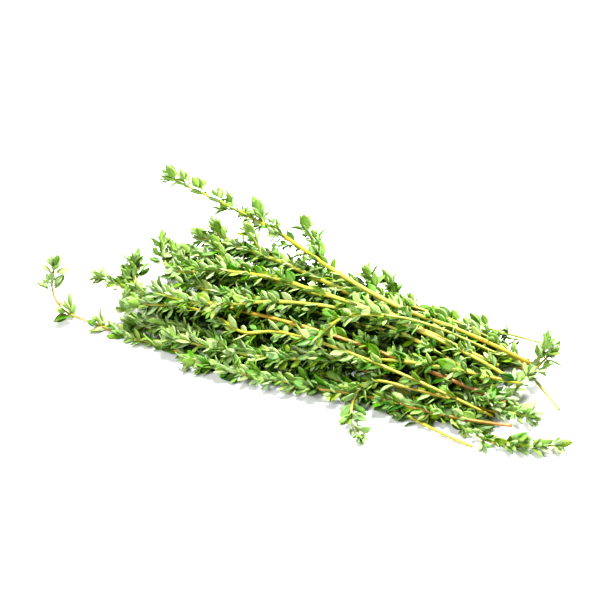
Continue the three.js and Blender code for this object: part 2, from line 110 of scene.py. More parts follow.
# The sprigs that show on their own.
SHOWN = [
    sprig_of("sprig_tall",
             [(77, 6, 8), (57, 3, 16), (34, 0, 22), (10, 4, 27), (-19, 15, 30), (-60, 26, 32)],
             girth=1.15, bare=12, ripe=0.6, shoots=[(74, 10, 28, 18), (101, 45, 35, 6)],
             leafy_from=70, cover=0, axils=1, leaf=1.15, openness=0.9, tufts=(4, 9, 16, 24),
             fine_girth=1.0),
    sprig_of("sprig_upper", [(68, -2, 11), (36, -3, 20), (17, 1, 22), (-17, 7, 24), (-40, 9, 23)],
             girth=1.1, bare=10, ripe=0.5, shoots=[(87, 50, 45, 9), (100, 60, 40, 7)],
             leafy_from=60, cover=0.3, axils=1, leaf=1.12, fresh=0.25, fine_girth=1.1),
    sprig_of("sprig_upper_low", [(66, 5, 10), (30, 3, 17), (1, -1, 20), (-24, 3, 20), (-43, 4, 19)],
             girth=1.0, bare=8, ripe=0.5, shoots=[(94, 60, 40, 8)],
             leafy_from=50, cover=0.8, axils=1, leaf=1.1, fresh=0.25, fine_girth=0.9),
    sprig_of("sprig_ridge",
             [(74, -5, 9), (59, -5, 15), (30, -6, 22.5), (8, -5, 24), (-17, -3, 23), (-40, -8, 20)],
             girth=1.1, bare=10, ripe=0.5, leafy_from=60, cover=0.15, fresh=0.1, fine_girth=0.95),
    sprig_of("sprig_bent",
             [(89, -3, 1.1), (77, 5, 5), (64, 7, 13), (44, 8, 17), (10, 9, 19), (-30, 13, 19)],
             girth=0.9, bare=24, ripe=0.55, shoots=[(72, 60, 60, 7)],
             leafy_from=50, cover=0.9, axils=1, leaf=1.15, fresh=0.25),
    sprig_of("sprig_back_butt", [(77, 15, 11), (55, 13, 13), (30, 11, 15), (0, 12, 17), (-38, 15, 17)],
             girth=0.75, bare=14, ripe=0.45, shoots=[(48, 60, 60, 7)],
             leafy_from=25, cover=2.2, axils=1, leaf=1.2, fresh=0.15),
    sprig_of("sprig_middle",
             [(70, -9, 9), (40, -7, 18), (19, -6, 21), (-6, -12, 21), (-24, -18, 18), (-44, -16, 16)],
             girth=0.9, bare=8, ripe=0.45, leafy_from=60, cover=0.15, fresh=0.1, fine_girth=0.95),
    sprig_of("sprig_crossing",
             [(66, 1, 13.5), (50, -3, 20), (36.5, -7.5, 25), (29, -14, 26), (20, -17.5, 25), (16, -23, 21)],
             girth=0.75, bare=30, ripe=0.3, cover=0.1),
    sprig_of("sprig_orange", [(74, -12, 6), (36, -14, 14), (7, -15, 17), (-14, -14, 16), (-46, -12, 14)],
             girth=1.05, bare=6, ripe=1.0, leafy_from=85, cover=0.3, fine_girth=0.9),
    sprig_of("sprig_yellow",
             [(72, -18, 4), (35, -19, 13), (4, -17, 14), (-12, -21, 13), (-28, -15, 13), (-50, -20, 12)],
             girth=0.85, bare=6, ripe=0.55, leafy_from=90, cover=0.3),
    sprig_of("sprig_right",
             [(76, -5, 9), (61, -10, 12), (43, -15, 14), (20, -20, 12), (-6, -25, 8), (-34, -25, 7)],
             girth=1.0, bare=3, ripe=0.5, cover=1.6, leaf=1.2),
    sprig_of("sprig_trailing",
             [(74, -14, 3), (52, -20, 8), (38, -21, 10), (31, -25, 7), (31, -31, 1.2), (37.5, -40, 1)],
             girth=0.8, bare=16, ripe=0.65, cover=0.3, tufts=(11,)),
    sprig_of("sprig_front_edge", [(78, -17, 2), (60, -23, 4), (36, -24, 4), (8, -28, 4), (-25, -30, 3)],
             girth=1.0, bare=5, ripe=0.85, leafy_from=5, cover=1.9, axils=0.9, leaf=1.25),
    sprig_of("sprig_front_butt", [(70, -30, 1), (54, -27, 1.6), (28, -21, 4), (0, -21, 6), (-42, -19, 6)],
             girth=1.05, bare=22, ripe=0.5, leafy_from=18, cover=1.2, axils=1, leaf=1.15),
    sprig_of("sprig_hooked",
             [(66, -18, 1), (0, -24, 1), (-38, -24, 1), (-62, -22, 1), (-75, -23, 4), (-80.5, -21, 10),
              (-80.5, -18, 17.5)],
             girth=0.85, bare=8, ripe=1.2, cover=1.5, leaf=1.18, tufts=(9, 21, 33)),
    sprig_of("sprig_reversed", [(38, -14, 3), (60, -22, 2), (77, -26, 1.2), (93, -20, 1.6)],
             girth=0.75, bare=16, ripe=0.45, shoots=[(42, 60, 45, 6)],
             leafy_from=LEAFY_ALL, cover=1.0, tufts=(13,), tip_tiers=2),
    sprig_of("sprig_reversed_high", [(44, -8, 10), (64, -10, 5.5), (76, -7, 5), (75, 3, 8), (80, 12, 10)],
             girth=0.75, bare=16, ripe=0.4, shoots=[(44, 100, 45, 7)],
             leafy_from=LEAFY_ALL, axils=1, leaf=1.15, fresh=0.6, tufts=(9,)),
    sprig_of("sprig_reversed_low", [(42, -10, 6), (62, -14, 3.5), (82, -12, 3)],
             girth=0.75, bare=12, ripe=0.4, shoots=[(24, 60, 45, 7)],
             leafy_from=LEAFY_ALL, axils=1, leaf=1.2),
    sprig_of("sprig_left", [(66, 2, 5), (0, -4, 8), (-46, -10, 8), (-70, -7, 9)],
             girth=0.95, bare=8, ripe=0.6, shoots=[(122, 30, 40, 8)], cover=1.5, axils=0.8, leaf=1.1),
    sprig_of("sprig_left_upright", [(69, -3, 4), (0, -8, 10), (-44, -13, 10), (-57, -7, 11), (-59, -2, 15)],
             girth=0.95, bare=8, ripe=0.6, axils=0.9, leaf=1.2, tufts=(8, 15)),
    sprig_of("sprig_left_low", [(75, -9, 2), (0, -14, 4), (-34, -17, 3), (-52, -17, 4), (-56, -14, 9)],
             girth=0.9, bare=6, ripe=1.05, cover=1.5, fresh=0.6),
    sprig_of("sprig_left_high", [(66, 0, 9), (0, -6, 16), (-32, -9, 16), (-48, -2, 17), (-52, 4, 21)],
             girth=0.95, bare=8, ripe=0.55, axils=0.8, leaf=1.1, tufts=(9, 17)),
    sprig_of("sprig_left_back", [(62, 10, 8), (0, 5, 15), (-34, -2, 17), (-47, 3, 20)],
             girth=0.9, bare=8, ripe=0.6, shoots=[(84, 80, 40, 8)]),
]

# The sprigs inside the bunch lie in rows, one on the other: how many in each, how high, and where.
ROWS = [(5, 0.4, 2), (3, 6, 6), (2, 11, 7)]
ROW_SPACING = 8.5
# The points of their routes: along X, and how far each may stray; and along Y, as a share of the lane's,
# with a shift and a stray.
ROW_X = [(70, 8), (34, 0), (-26, 0), (-44, 10)]
ROW_Y = [(0.9, -3, 2), (1, -1, 2), (1.05, 0, 3), (1.15, 0, 4)]
ROW_HEIGHT_STRAY = 1.5
ROW_BUTT_HEIGHT = 0.75  # as a share of the row's
ROW_TIP_RISE = 4  # at most
ROW_GIRTH = (0.8, 0.35)  # least, and range
ROW_BARE = (6, 10)  # the same
ROW_RIPE = (0.4, 0.13)  # of the first sprig of a row, and how much more each further one has
ROW_SEED = 7
LEAF_SEED = 100

# ---- what the fine model adds, in millimetres ----
FINE_SEED = 500
LOWEST = 0.02  # nothing comes closer to the surface

# Stems
FINE_STEP = 1.2  # between two rings of a stem
FEWEST_STEPS = 4
STEM_FACETS = 12
FINE_TAPER = (0.7, 1.25)  # girth at the cut end and at the tip, as a share of the solid's
TIP_NARROWING = 0.45  # how much of it is lost again at the very tip
ROUNDNESS = 0.86  # mean radius of the rounded square that a stem is across
SQUARENESS = 0.11  # how far its corners stand out, and its sides lie in
NODE_SWELL = 0.28
NODE_REACH = 0.9
PITH_RADIUS = 0.72  # in a cut end, as a share of the stem's
YELLOW = 0.5  # on the scale that ripe uses
YOUNG_STEM = 0.38  # on the same scale, far from a yellow cut end
YOUNG_RIPENESS = 0.35  # share of the cut end's difference from yellow that reaches there
RIPE_REACH = 45  # how far from the cut end the colour goes up
SHOOT_RIPE = 0.3
GRAIN_STRETCH = 0.12  # of a stem's grain along it
STEM_STRIPS = 4  # of the map that a sprig's own stem takes; a side shoot takes one
STRIP_MARGIN = (0.04, 0.02)
CUT_PLACE = (0.01, 0.005)  # of a cut end in its strip

# Where leaves stand
LEAFLESS = 1  # of a stem at its cut end, at least
LEAFLESS_LESS = 9  # by how much the leafless length is less than the solids'
FINE_PAIR_STEP = 3.4  # between two pairs of leaves, about
NODE_TWIST = 0.45  # how far a pair may be turned round the stem, in radians
LEAST_LEAFY = 0.12  # how dense the leaves on top are near the cut end
TOP_OF_STEM = 0.35  # least cosine between the light and a leaf on top
YOUNG_REACH = 14  # how far from the tip the leaves are young
LEAN = 0.28  # share of the way to the tip that a leaf of the solids is leaned
LEAN_UPRIGHT = 0.3  # how much more if it stands upright
FACE_TURN = (0.4, 1.0)  # share of the way to the light that a leaf's face is turned
RIDGE_Y = 8  # where the bunch is highest, and its leaves look straight up
FLANK_WIDTH = 30  # from there to its edge
FLANK_TILT = 0.75  # how far the leaves at the edge look outwards
FLOOR_GAP = 0.15  # of a leaf's tip from the surface

# Leaves between those of the solids
SOLID_LEAF_SCALE = 0.8  # of the solids' leaves when they are made fine
KEPT_LEAVES = 0.88  # share of the places between them that have a leaf
BETWEEN_LEAF = (5.4, 4.8)  # length on the stem, and near its tip
BETWEEN_SPREAD = (0.7, 1.2)
OPEN_PITCH = (14, 54)  # degrees between leaf and stem, tried first
CLOSE_PITCH = (14, 26)  # tried next
WIDE_PITCH = 62  # tried last

# Leaves along the top of a stem
COVER_TURN = 0.9  # how far from the very top one may lie, in radians
COVER_PITCH = (8, 24)
COVER_STEEP = 30  # degrees, tried next
COVER_ROOT = 0.5  # from the stem's axis
COVER_LEAF = (4.9, 6.1)

# Short shoots in the axils
AXIL_ROOT = 0.5
AXIL_PITCH = (20, 42)
AXIL_STEP = 1.9
AXIL_LENGTH = (0.8, 4.4)
AXIL_LEAF = (3.4, 5.0)
AXIL_TOP_SIZE = 0.75  # of the last pair's leaves, as a share of the first's
AXIL_SPREAD = (0.85, 1.15)
AXIL_TILT = (56, 24)  # degrees between leaf and shoot, at the first pair and at the last
AXIL_TILT_SPREAD = 8
AXIL_CLOSER = 15  # degrees less, tried next
AXIL_TWIST = 0.2  # radians
AXIL_YOUTH = 0.35

# Tufts, and the rosette of young leaves at a tip, with a start and a growth from pair to pair
TUFT_LEAF = (5.2, 6.4)
TUFT_PITCH = (30, 50)
TUFT_CLOSE_PITCH = 20
TUFT_SHOOTS = (55, 125)  # where round the stem a tuft's two short shoots stand, in degrees
TUFT_SHOOT_SPREAD = 15
TUFT_SHOOT_LENGTH = 2.6
TUFT_SHOOT_LEAF = (4.6, 5.6)
TUFT_BARE = 3.5  # of the stem between the last tuft and the ordinary nodes
ROSETTE_SINK = (0.3, 0.8)
ROSETTE_PITCH = (14, 15)
ROSETTE_PITCH_SPREAD = 6
ROSETTE_LEAF = (3.4, 0.6)
ROSETTE_SPREAD = (0.9, 1.15)
ROSETTE_AGE = (0.9, -0.16)

# The shape of a leaf. Heights are in half widths of the blade, if nothing else is said.
LEAF_RATIO = 0.55  # width of a fine leaf as a share of its length
WIDTH_SPREAD = (0.84, 1.1)
YOUNG_WIDTH = 0.86
PETIOLE_SHARE = 0.16  # of a leaf's length
PETIOLE_WIDTH = 0.12  # as a share of the blade's
PETIOLE_DEPTH = 0.35
BLADE_SKEW = 0.86  # below 1 the widest place is nearer to the tip
BLADE_FULLNESS = 0.8  # below 1 the blade is fuller towards its ends
CROWN = 0.14  # how far the blade is domed across
FOLD = (-0.16, 0.5)  # how far its halves are folded up
EDGE_CURL = 0.1  # how far its edges turn down again
EDGE_CURL_POWER = 6
ARCH = (-0.06, 0.26)  # how far its tip bends down, as a share of its length
YOUNG_ARCH = 0.4
BLADE_THICKNESS = 0.26
THICK_LENGTH = 5  # a shorter leaf is thinner
EDGE_THICKNESS = 0.35  # as a share of the blade's
KEEL = 0.4  # how much thicker it is at its midrib
KEEL_SHARE = 0.1  # of its half width
SMALL_SIZE = 4.6  # leaves up to this length have the coarser grid

# How deep a leaf lies in the bunch, which sets the shade painted on it
CANOPY_CELL = 4
FULL_DEPTH = 9  # below the leaves around it, where its painted shade is as dark as it gets
LIGHT_WAYS = [(0, 0), (0.9, 0), (-0.9, 0), (0, 0.9), (0, -0.9)]  # slopes along X and Y

UP = np.array([0.0, 0.0, 1.0])


def lerp(a, b, share):
    return a + (b - a) * share


def grown(start_and_growth, times):
    """A measure, given as its start and its growth, after so many times that growth."""
    start, growth = start_and_growth
    return start + growth * times


def unit(v):
    return v / np.linalg.norm(v)


def random_from(seed):
    """A seeded generator (mulberry32) of numbers from 0 to 1, the one that the solids are made with."""
    mask = 0xFFFFFFFF
    state = seed

    def draw():
        nonlocal state
        state = (state + 0x6D2B79F5) & mask
        mixed = ((state ^ (state >> 15)) * (state | 1)) & mask
        mixed = ((mixed + (mixed ^ (mixed >> 7)) * (mixed | 61)) & mask) ^ mixed
        return (mixed ^ (mixed >> 14)) / (mask + 1)

    return draw


# ---- lines and places ----

def curve_point(points, share):
    """The point at a share of a Catmull-Rom curve through points, and the way that it runs there."""
    points = np.asarray(points, float)
    last = len(points) - 1
    at = share * last
    i = min(int(at), last - 1)
    t = at - i
    before = points[i - 1] if i else 2 * points[0] - points[1]
    after = points[i + 2] if i + 2 <= last else 2 * points[last] - points[last - 1]
    start, end = points[i], points[i + 1]
    leave, arrive = (end - before) / 2, (after - start) / 2
    square = 3 * (end - start) - 2 * leave - arrive
    cube = 2 * (start - end) + leave + arrive
    return start + leave * t + square * t**2 + cube * t**3, leave + 2 * square * t + 3 * cube * t**2


def length_of(line):
    return float(np.linalg.norm(np.diff(line, axis=0), axis=1).sum())


def line_through(points):
    """A route through a few points, as a line of straight pieces that are about RING_STEP long."""
    samples = 200
    fine = [curve_point(points, i / samples)[0] for i in range(samples + 1)]
    pieces = max(2, int(length_of(fine) / RING_STEP + 0.5))
    return np.array([curve_point(points, i / pieces)[0] for i in range(pieces + 1)])


def crossing(point, along, roll):
    """A place on a line: its point, the line's direction, and two directions across it."""
    along = unit(along)
    level = unit(np.cross(along, UP))
    side = level * math.cos(roll) + np.cross(along, level) * math.sin(roll)
    return {"point": point, "along": along, "side": side, "up": np.cross(side, along)}


def share_at(line, distance):
    """The piece of the line at a distance from its start, and the share of that piece."""
    left = distance
    for i in range(1, len(line)):
        step = float(np.linalg.norm(line[i] - line[i - 1]))
        if left <= step or i == len(line) - 1:
            return i, left / step
        left -= step


def place_at(line, distance, roll=0.0):
    i, share = share_at(line, distance)
    return crossing(lerp(line[i - 1], line[i], share), line[i] - line[i - 1], roll)


def smooth_at(line, distance, roll):
    """The same place on the smooth curve through the line's bends."""
    i, share = share_at(line, distance)
    point, along = curve_point(line, (i - 1 + share) / (len(line) - 1))
    return crossing(point, along, roll)


# ---- the routes of the stems ----

def row_sprigs():
    """The routes in the rows: nearly parallel, gathered at the cut ends and fanned out at the tips."""
    random = random_from(ROW_SEED)

    def jitter(size):
        return (random() * 2 - 1) * size

    sprigs = []
    for count, row_height, middle in ROWS:
        for i in range(count):
            lane = middle + (i - (count - 1) / 2) * ROW_SPACING
            xs = [x + (jitter(stray) if stray else 0) for x, stray in ROW_X]
            height = row_height + (jitter(ROW_HEIGHT_STRAY) if row_height > HIGH else 0)
            ys = [lane * share + shift + jitter(stray) for share, shift, stray in ROW_Y]
            tip_height = row_height + random() * ROW_TIP_RISE
            route = list(zip(xs, ys, [row_height * ROW_BUTT_HEIGHT, height, height, tip_height]))
            girth, bare = grown(ROW_GIRTH, random()), grown(ROW_BARE, random())
            sprigs.append(sprig_of(f"sprig_{len(sprigs) + 1:02d}", route, girth, bare, grown(ROW_RIPE, i),
                                   pair_step=ROW_PAIR_STEP, leafy_from=LEAFY_ALL))
    return sprigs


def stem_radius(girth, share):
    return lerp(STEM_RADIUS_BUTT * girth, STEM_RADIUS_TIP, share)


def closest_shares(a0, a1, b0, b1):
    """The closest points of pairs of straight pieces, as the share along each."""
    a, b, r = a1 - a0, b1 - b0, a0 - b0
    aa, bb, ab = (a * a).sum(1), (b * b).sum(1), (a * b).sum(1)
    ar, br = (a * r).sum(1), (b * r).sum(1)
    denominator = aa * bb - ab * ab
    safe = np.where(denominator > 1e-9, denominator, 1)
    s = np.where(denominator > 1e-9, np.clip((ab * br - ar * bb) / safe, 0, 1), 0.5)
    t = np.clip((ab * s + br) / bb, 0, 1)
    return np.clip((ab * t - ar) / aa, 0, 1), t


def settle(sprigs):
    """Pushes the stems apart until none comes closer to another than STEM_GAP, and keeps them on or
    above the surface. A pushed stem keeps nearly its own curve."""
    counts = [len(s["line"]) for s in sprigs]
    firsts = np.cumsum([0] + counts[:-1])
    points = np.concatenate([s["line"] for s in sprigs])
    rest = points.copy()
    owner = np.repeat(np.arange(len(sprigs)), [n - 1 for n in counts])
    step = np.concatenate([np.arange(n - 1) for n in counts])
    first = firsts[owner] + step
    girth = np.array([s["girth"] for s in sprigs])
    pieces = np.array(counts) - 1
    one, other = np.nonzero(owner[:, None] < owner[None, :])
    lowest = np.concatenate([
        stem_radius(s["girth"], np.arange(n) / (n - 1)) * math.sqrt(0.5) - FLAT_DEPTH
        for s, n in zip(sprigs, counts)
    ])

    def radius(piece, share):
        return stem_radius(girth[owner[piece]], (step[piece] + share) / pieces[owner[piece]])

    for round_ in range(SETTLE_PASSES):
        near = np.abs(points[first[one] + 1, 0] - points[first[other] + 1, 0]) <= RING_STEP * 2
        i, j = one[near], other[near]
        a, b = first[i], first[j]
        s, t = closest_shares(points[a], points[a + 1], points[b], points[b + 1])
        between = lerp(points[a], points[a + 1], s[:, None]) - lerp(points[b], points[b + 1], t[:, None])
        distance = np.linalg.norm(between, axis=1)
        wanted = radius(i, s) + radius(j, t) + STEM_GAP
        hit = (distance < wanted) & (distance >= 1e-6)
        a, b, s, t = a[hit], b[hit], s[hit, None], t[hit, None]
        push = between[hit] * ((wanted[hit] - distance[hit]) / distance[hit] / 2)[:, None]
        pushes = np.zeros_like(points)
        np.add.at(pushes, a, push * (1 - s))
        np.add.at(pushes, a + 1, push * s)
        np.add.at(pushes, b, push * (t - 1))
        np.add.at(pushes, b + 1, -push * t)
        points += pushes * SETTLE_SHARE
        if round_ < STIFF_PASSES:
            for start, count in zip(firsts, counts):
                ease(points[start:start + count], rest[start:start + count])
        points[:, 2] = np.maximum(points[:, 2], lowest)
    for sprig, start, count in zip(sprigs, firsts, counts):
        sprig["line"] = points[start:start + count]


def ease(line, rest):
    """Moves each inner point of a line part of the way back to the bend that it had at rest."""
    for i in range(1, len(line) - 1):
        bend = (line[i - 1] + line[i + 1]) * 0.5 - line[i]
        rest_bend = (rest[i - 1] + rest[i + 1]) * 0.5 - rest[i]
        line[i] += (bend - rest_bend) * STIFFNESS


# ---- what is already there, as balls in a grid ----

CROWD_CELL = 2.5
BALL_STEP = 0.8


class Crowd:
    """The balls that stems and leaves take up, by the cells of a grid."""

    def __init__(self):
        self.cells = {}

    def cell(self, x, y, z):
        return math.floor(x / CROWD_CELL), math.floor(y / CROWD_CELL), math.floor(z / CROWD_CELL)

    def add(self, owner, kind, balls):
        for x, y, z, radius in balls:
            self.cells.setdefault(self.cell(x, y, z), []).append((owner, kind, x, y, z, radius))

    def near(self, x, y, z):
        cx, cy, cz = self.cell(x, y, z)
        for i in (cx - 1, cx, cx + 1):
            for j in (cy - 1, cy, cy + 1):
                for k in (cz - 1, cz, cz + 1):
                    yield from self.cells.get((i, j, k), ())

    def takes(self, owner, balls, gap, kinds=("stem", "leaf")):
        """True if no ball comes nearer than gap to what is there. Only leaves count within one sprig."""
        for x, y, z, radius in balls:
            if z - radius < 0:
                return False
            for other, kind, ox, oy, oz, other_radius in self.near(x, y, z):
                own = other == owner
                if own and kind == "stem" or kind not in kinds:
                    continue
                wanted = radius + other_radius + (0 if own else gap)
                if (x - ox) ** 2 + (y - oy) ** 2 + (z - oz) ** 2 < wanted * wanted:
                    return False
        return True


def stem_balls(line, radii):
    """Balls along a stem, from its radii at the cut end and at the tip."""
    length = length_of(line)
    count = math.ceil(length / BALL_STEP)
    return [
        (*place_at(line, i / count * length)["point"].tolist(), lerp(*radii, i / count))
        for i in range(count + 1)
    ]


# ---- the leaves of the solids ----

# The corners of a leaf of the solids, as shares of its length, of half its width and of its thickness.
LEAF_CORNERS = np.array([
    (0, 0, 0), (0.42, 1, 0), (0.42, -1, 0), (0.5, 0, 1), (0.75, 0.74, 0), (0.75, -0.74, 0), (1, 0, 0),
])

# Balls that fill a leaf: the same shares, and a radius.
LEAF_BALLS = np.array([
    (0.22, 0, 0.3, 0.4), (0.36, 0, 0.4, 0.45), (0.52, 0, 0.45, 0.5), (0.68, 0, 0.4, 0.45),
    (0.82, 0, 0.25, 0.35), (0.95, 0, 0.1, 0.2), (0.28, 0.45, 0.15, 0.35), (0.28, -0.45, 0.15, 0.35),
    (0.45, 0.6, 0.2, 0.4), (0.45, -0.6, 0.2, 0.4), (0.64, 0.55, 0.15, 0.35), (0.64, -0.55, 0.15, 0.35),
    (0.42, 0.92, 0.05, 0.15), (0.42, -0.92, 0.05, 0.15),
    (0.74, 0.68, 0.05, 0.15), (0.74, -0.68, 0.05, 0.15),
])


def outward(place, turn):
    """The way out of a stem at a turn round it."""
    return place["side"] * math.cos(turn) + place["up"] * math.sin(turn)


def leaf_pose(place, turn, pitch, length):
    """A leaf's root on the stem's axis, the way that it points, and the way that its face looks."""
    out = outward(place, turn)
    along = place["along"] * math.cos(pitch) + out * math.sin(pitch)
    face = place["along"] * math.sin(pitch) - out * math.cos(pitch)
    return {"root": place["point"], "along": along, "face": face,
            "across": np.cross(along, face), "length": length}


def leaf_points(pose, shares):
    """Points of a leaf, from shares of its length, of half its width and of its thickness."""
    size = pose["length"] / LEAF_LENGTH
    return (pose["root"]
            + np.outer(shares[:, 0] * pose["length"], pose["along"])
            + np.outer(shares[:, 2] * LEAF_THICKNESS, pose["face"])
            + np.outer(shares[:, 1] * (LEAF_WIDTH / 2) * size, pose["across"]))


def leaf_balls(pose, balls):
    return np.column_stack([leaf_points(pose, balls), balls[:, 3]]).tolist()


def clear_leaf(crowd, owner, place, turn, length):
    """The first pose of a leaf in which it crosses nothing, or None."""
    for pitch in PITCHES:
        for extra in TURNS:
            pose = leaf_pose(place, turn + math.radians(extra), math.radians(pitch), length)
            balls = leaf_balls(pose, LEAF_BALLS)
            if crowd.takes(owner, balls, LEAF_GAP):
                crowd.add(owner, "leaf", balls)
                return pose
    return None


def clear_tip(crowd, owner, place):
    pose = leaf_pose(place, -math.pi / 2, math.radians(TIP_PITCH), LEAF_LENGTH * TIP_SIZE)
    balls = leaf_balls(pose, LEAF_BALLS[1:])
    if not crowd.takes(owner, balls, LEAF_GAP):
        return None
    crowd.add(owner, "leaf", balls)
    return pose


def leaves_along(crowd, sprig, line, bare):
    """The solids' leaves along a line: a list of nodes, each with its distance from the tip, its turn
    and its leaves. The first node is the leaf that carries on the stem at its tip."""
    name, roll, random = sprig["name"], sprig["roll"], sprig["random"]
    length = length_of(line)
    pair = 0 if random() < 0.5 else 1
    tip = clear_tip(crowd, name, place_at(line, length - TIP_SINK, roll))
    nodes = [{"back": TIP_SINK, "turn": -math.pi / 2, "leaves": [tip]}]
    back = TIP_STEP
    while back < length - bare:
        place = place_at(line, length - back, roll)
        near_tip = max(1 - back / TUFT_LENGTH, 0)
        node = {"back": back, "turn": pair * math.pi / 2, "leaves": []}
        for half in (0, 1):
            share = lerp(1, TIP_SIZE, near_tip)
            size = LEAF_LENGTH * share * grown(LEAF_VARIES, random())
            node["leaves"].append(clear_leaf(crowd, name, place, node["turn"] + half * math.pi, size))
        nodes.append(node)
        back += lerp(sprig["pair_step"], TIP_STEP * 2, near_tip) * grown(STEP_VARIES, random())
        pair += 1
    return nodes


def shoot_line(line, shoot):
    """A side shoot: a thin stem that bends a little towards its sprig's own tip."""
    distance, turn, pitch, length = shoot
    place = place_at(line, distance)
    along = leaf_pose(place, math.radians(turn), math.radians(pitch), length)["along"]
    middle = place["point"] + along * (length / 2)
    onward = unit(lerp(along, place["along"], SHOOT_BEND))
    return np.array([place["point"], middle, middle + onward * (length / 2)])


# ---- the fine leaves ----

# Balls along the middle of a fine leaf, which only keep it from growing through a stem.
FINE_BALLS = np.array([(0.45, 0, 0.1, 0.15), (0.7, 0, 0.1, 0.15), (0.95, 0, 0.1, 0.1)])


def light_side(point):
    """The way out of the bunch at a point: up on its ridge, and up and outwards on its flanks."""
    flank = np.clip((point[1] - RIDGE_Y) / FLANK_WIDTH, -1, 1)
    return unit(np.array([0.0, flank * FLANK_TILT, 1.0]))


def above_floor(root, along, length):
    """The way a leaf points, raised until its tip clears the surface."""
    lowest = (FLOOR_GAP - root[2]) / length
    if along[2] >= lowest:
        return along
    level = np.array([along[0], along[1], 0.0])
    return unit(level) * math.sqrt(max(1 - lowest**2, 0)) + UP * lowest


# The columns of a leaf's row. Its root, the way it points and the way its face looks take three each.
ROOT, ALONG, FACE = slice(0, 3), slice(3, 6), slice(6, 9)
LENGTH, AGE, TINT, CURL, FOLDED, SHADE_DEPTH = range(9, 15)


class Foliage:
    """The fine leaves of one sprig, as rows of numbers."""

    def __init__(self, sprig, crowd):
        self.sprig = sprig
        self.crowd = crowd
        self.rows = []
        self.random = random_from(sprig["fine_seed"])

    def spread(self, low, high):
        return lerp(low, high, self.random())

    def jitter(self, size):
        return self.spread(-size, size)

    def add(self, pose, age):
        """Keeps a leaf, with its face turned towards the light. Age runs from 0, old, to 1, just opened."""
        root, face, length = pose["root"], pose["face"], pose["length"]
        along = above_floor(root, pose["along"], length)
        face = unit(face - along * (face @ along))
        across = np.cross(along, face)
        aim = light_side(root)
        level = 1 - float(along @ aim) ** 2
        turn = math.atan2(aim @ across, aim @ face) * level * self.spread(*FACE_TURN)
        face = face * math.cos(turn) + across * math.sin(turn)
        # The sprig's extra youth is partly painted light: it pales leaves that the lamps leave in shade.
        age = min(age + self.sprig["fresh"], 1)
        tint, curl, fold = self.random(), self.random(), self.random()
        self.rows.append((*root, *along, *face, length, age, tint, curl, fold))

    def lean(self, pose, place, openness):
        """A leaf of the solids, leaning a little more towards its sprig's tip."""
        share = 1 - (1 - LEAN - LEAN_UPRIGHT * max(float(pose["along"] @ UP), 0)) * openness
        along = unit(lerp(pose["along"], place["along"], share))
        face = unit(pose["face"] - along * float(pose["face"] @ along))
        return {**pose, "root": place["point"], "along": along, "face": face,
                "length": pose["length"] * SOLID_LEAF_SCALE}

    def grow(self, place, turn, pitches, length, age):
        """Adds a leaf at the first of some pitches, in degrees, at which it crosses no stem."""
        for pitch in pitches:
            pose = leaf_pose(place, turn, math.radians(pitch), length)
            balls = leaf_balls(pose, FINE_BALLS)
            if self.crowd.takes(self.sprig["name"], balls, 0, ("stem",)):
                self.add(pose, age)
                return

    def short_shoot(self, place, turn, length, size, age):
        """Small pairs of leaves on a short shoot in the axil of a leaf."""
        pitch = math.radians(self.spread(*AXIL_PITCH))
        axis = leaf_pose(place, turn, pitch, length)
        pairs = 1 + round(length / AXIL_STEP)
        for i in range(pairs):
            share = (i + 1) / pairs
            root = axis["root"] + axis["along"] * (AXIL_ROOT + length * share)
            spot = {"point": root, "along": axis["along"], "side": axis["across"], "up": axis["face"]}
            for half in (0, 1):
                leaf = size * lerp(1, AXIL_TOP_SIZE, share) * self.spread(*AXIL_SPREAD)
                tilt = lerp(*AXIL_TILT, share) + self.jitter(AXIL_TILT_SPREAD)
                way = i * math.pi / 2 + half * math.pi + self.jitter(AXIL_TWIST)
                self.grow(spot, way, [tilt, tilt - AXIL_CLOSER], leaf, lerp(age, 1, AXIL_YOUTH * share))


def age_at(back, length):
    """How young the leaves are at a distance from the tip: 0 far down the stem, and 1 at the tip."""
    return lerp(1 - back / max(length, 1), math.exp(-back / YOUNG_REACH), 0.5)


def fine_nodes(nodes, last, tufts):
    """The nodes of the solids and others about FINE_PAIR_STEP apart, between them and towards the cut
    end. Where leaves stand in tufts, only those are left of the ones near the tip."""
    spots = []
    for here, after in zip(nodes, nodes[1:]):
        spots.append(here)
        gap = after["back"] - here["back"]
        steps = max(round(gap / FINE_PAIR_STEP), 1)
        for i in range(1, steps):
            spots.append({"back": here["back"] + gap * i / steps,
                          "turn": here["turn"] + i * math.pi / 2, "leaves": []})
    spots.append(nodes[-1])
    while spots[-1]["back"] + FINE_PAIR_STEP < last:
        spots.append({"back": spots[-1]["back"] + FINE_PAIR_STEP,
                      "turn": spots[-1]["turn"] + math.pi / 2, "leaves": []})
    if tufts:
        spots = [spot for spot in spots
                 if not tufts[0] - TUFT_BARE < spot["back"] < tufts[-1] + TUFT_BARE]
    return spots


def cover(foliage, place, age):
    """A leaf that lies along the top of the stem and hides it."""
    top = math.atan2(place["up"] @ UP, place["side"] @ UP) + foliage.jitter(COVER_TURN)
    spot = {**place, "point": place["point"] + outward(place, top) * COVER_ROOT}
    pitches = [foliage.spread(*COVER_PITCH), COVER_STEEP]
    foliage.grow(spot, top, pitches, foliage.spread(*COVER_LEAF), age)


def tuft(foliage, place, age, scale):
    """A pair of leaves with two leafy short shoots that stand up between them."""
    for half in (0, 1):
        size = scale * foliage.spread(*TUFT_LEAF)
        foliage.grow(place, half * math.pi, [foliage.spread(*TUFT_PITCH), TUFT_CLOSE_PITCH], size, age)
    for turn in TUFT_SHOOTS:
        way = math.radians(turn + foliage.jitter(TUFT_SHOOT_SPREAD))
        leaf = scale * foliage.spread(*TUFT_SHOOT_LEAF)
        foliage.short_shoot(place, way, TUFT_SHOOT_LENGTH, leaf, age)


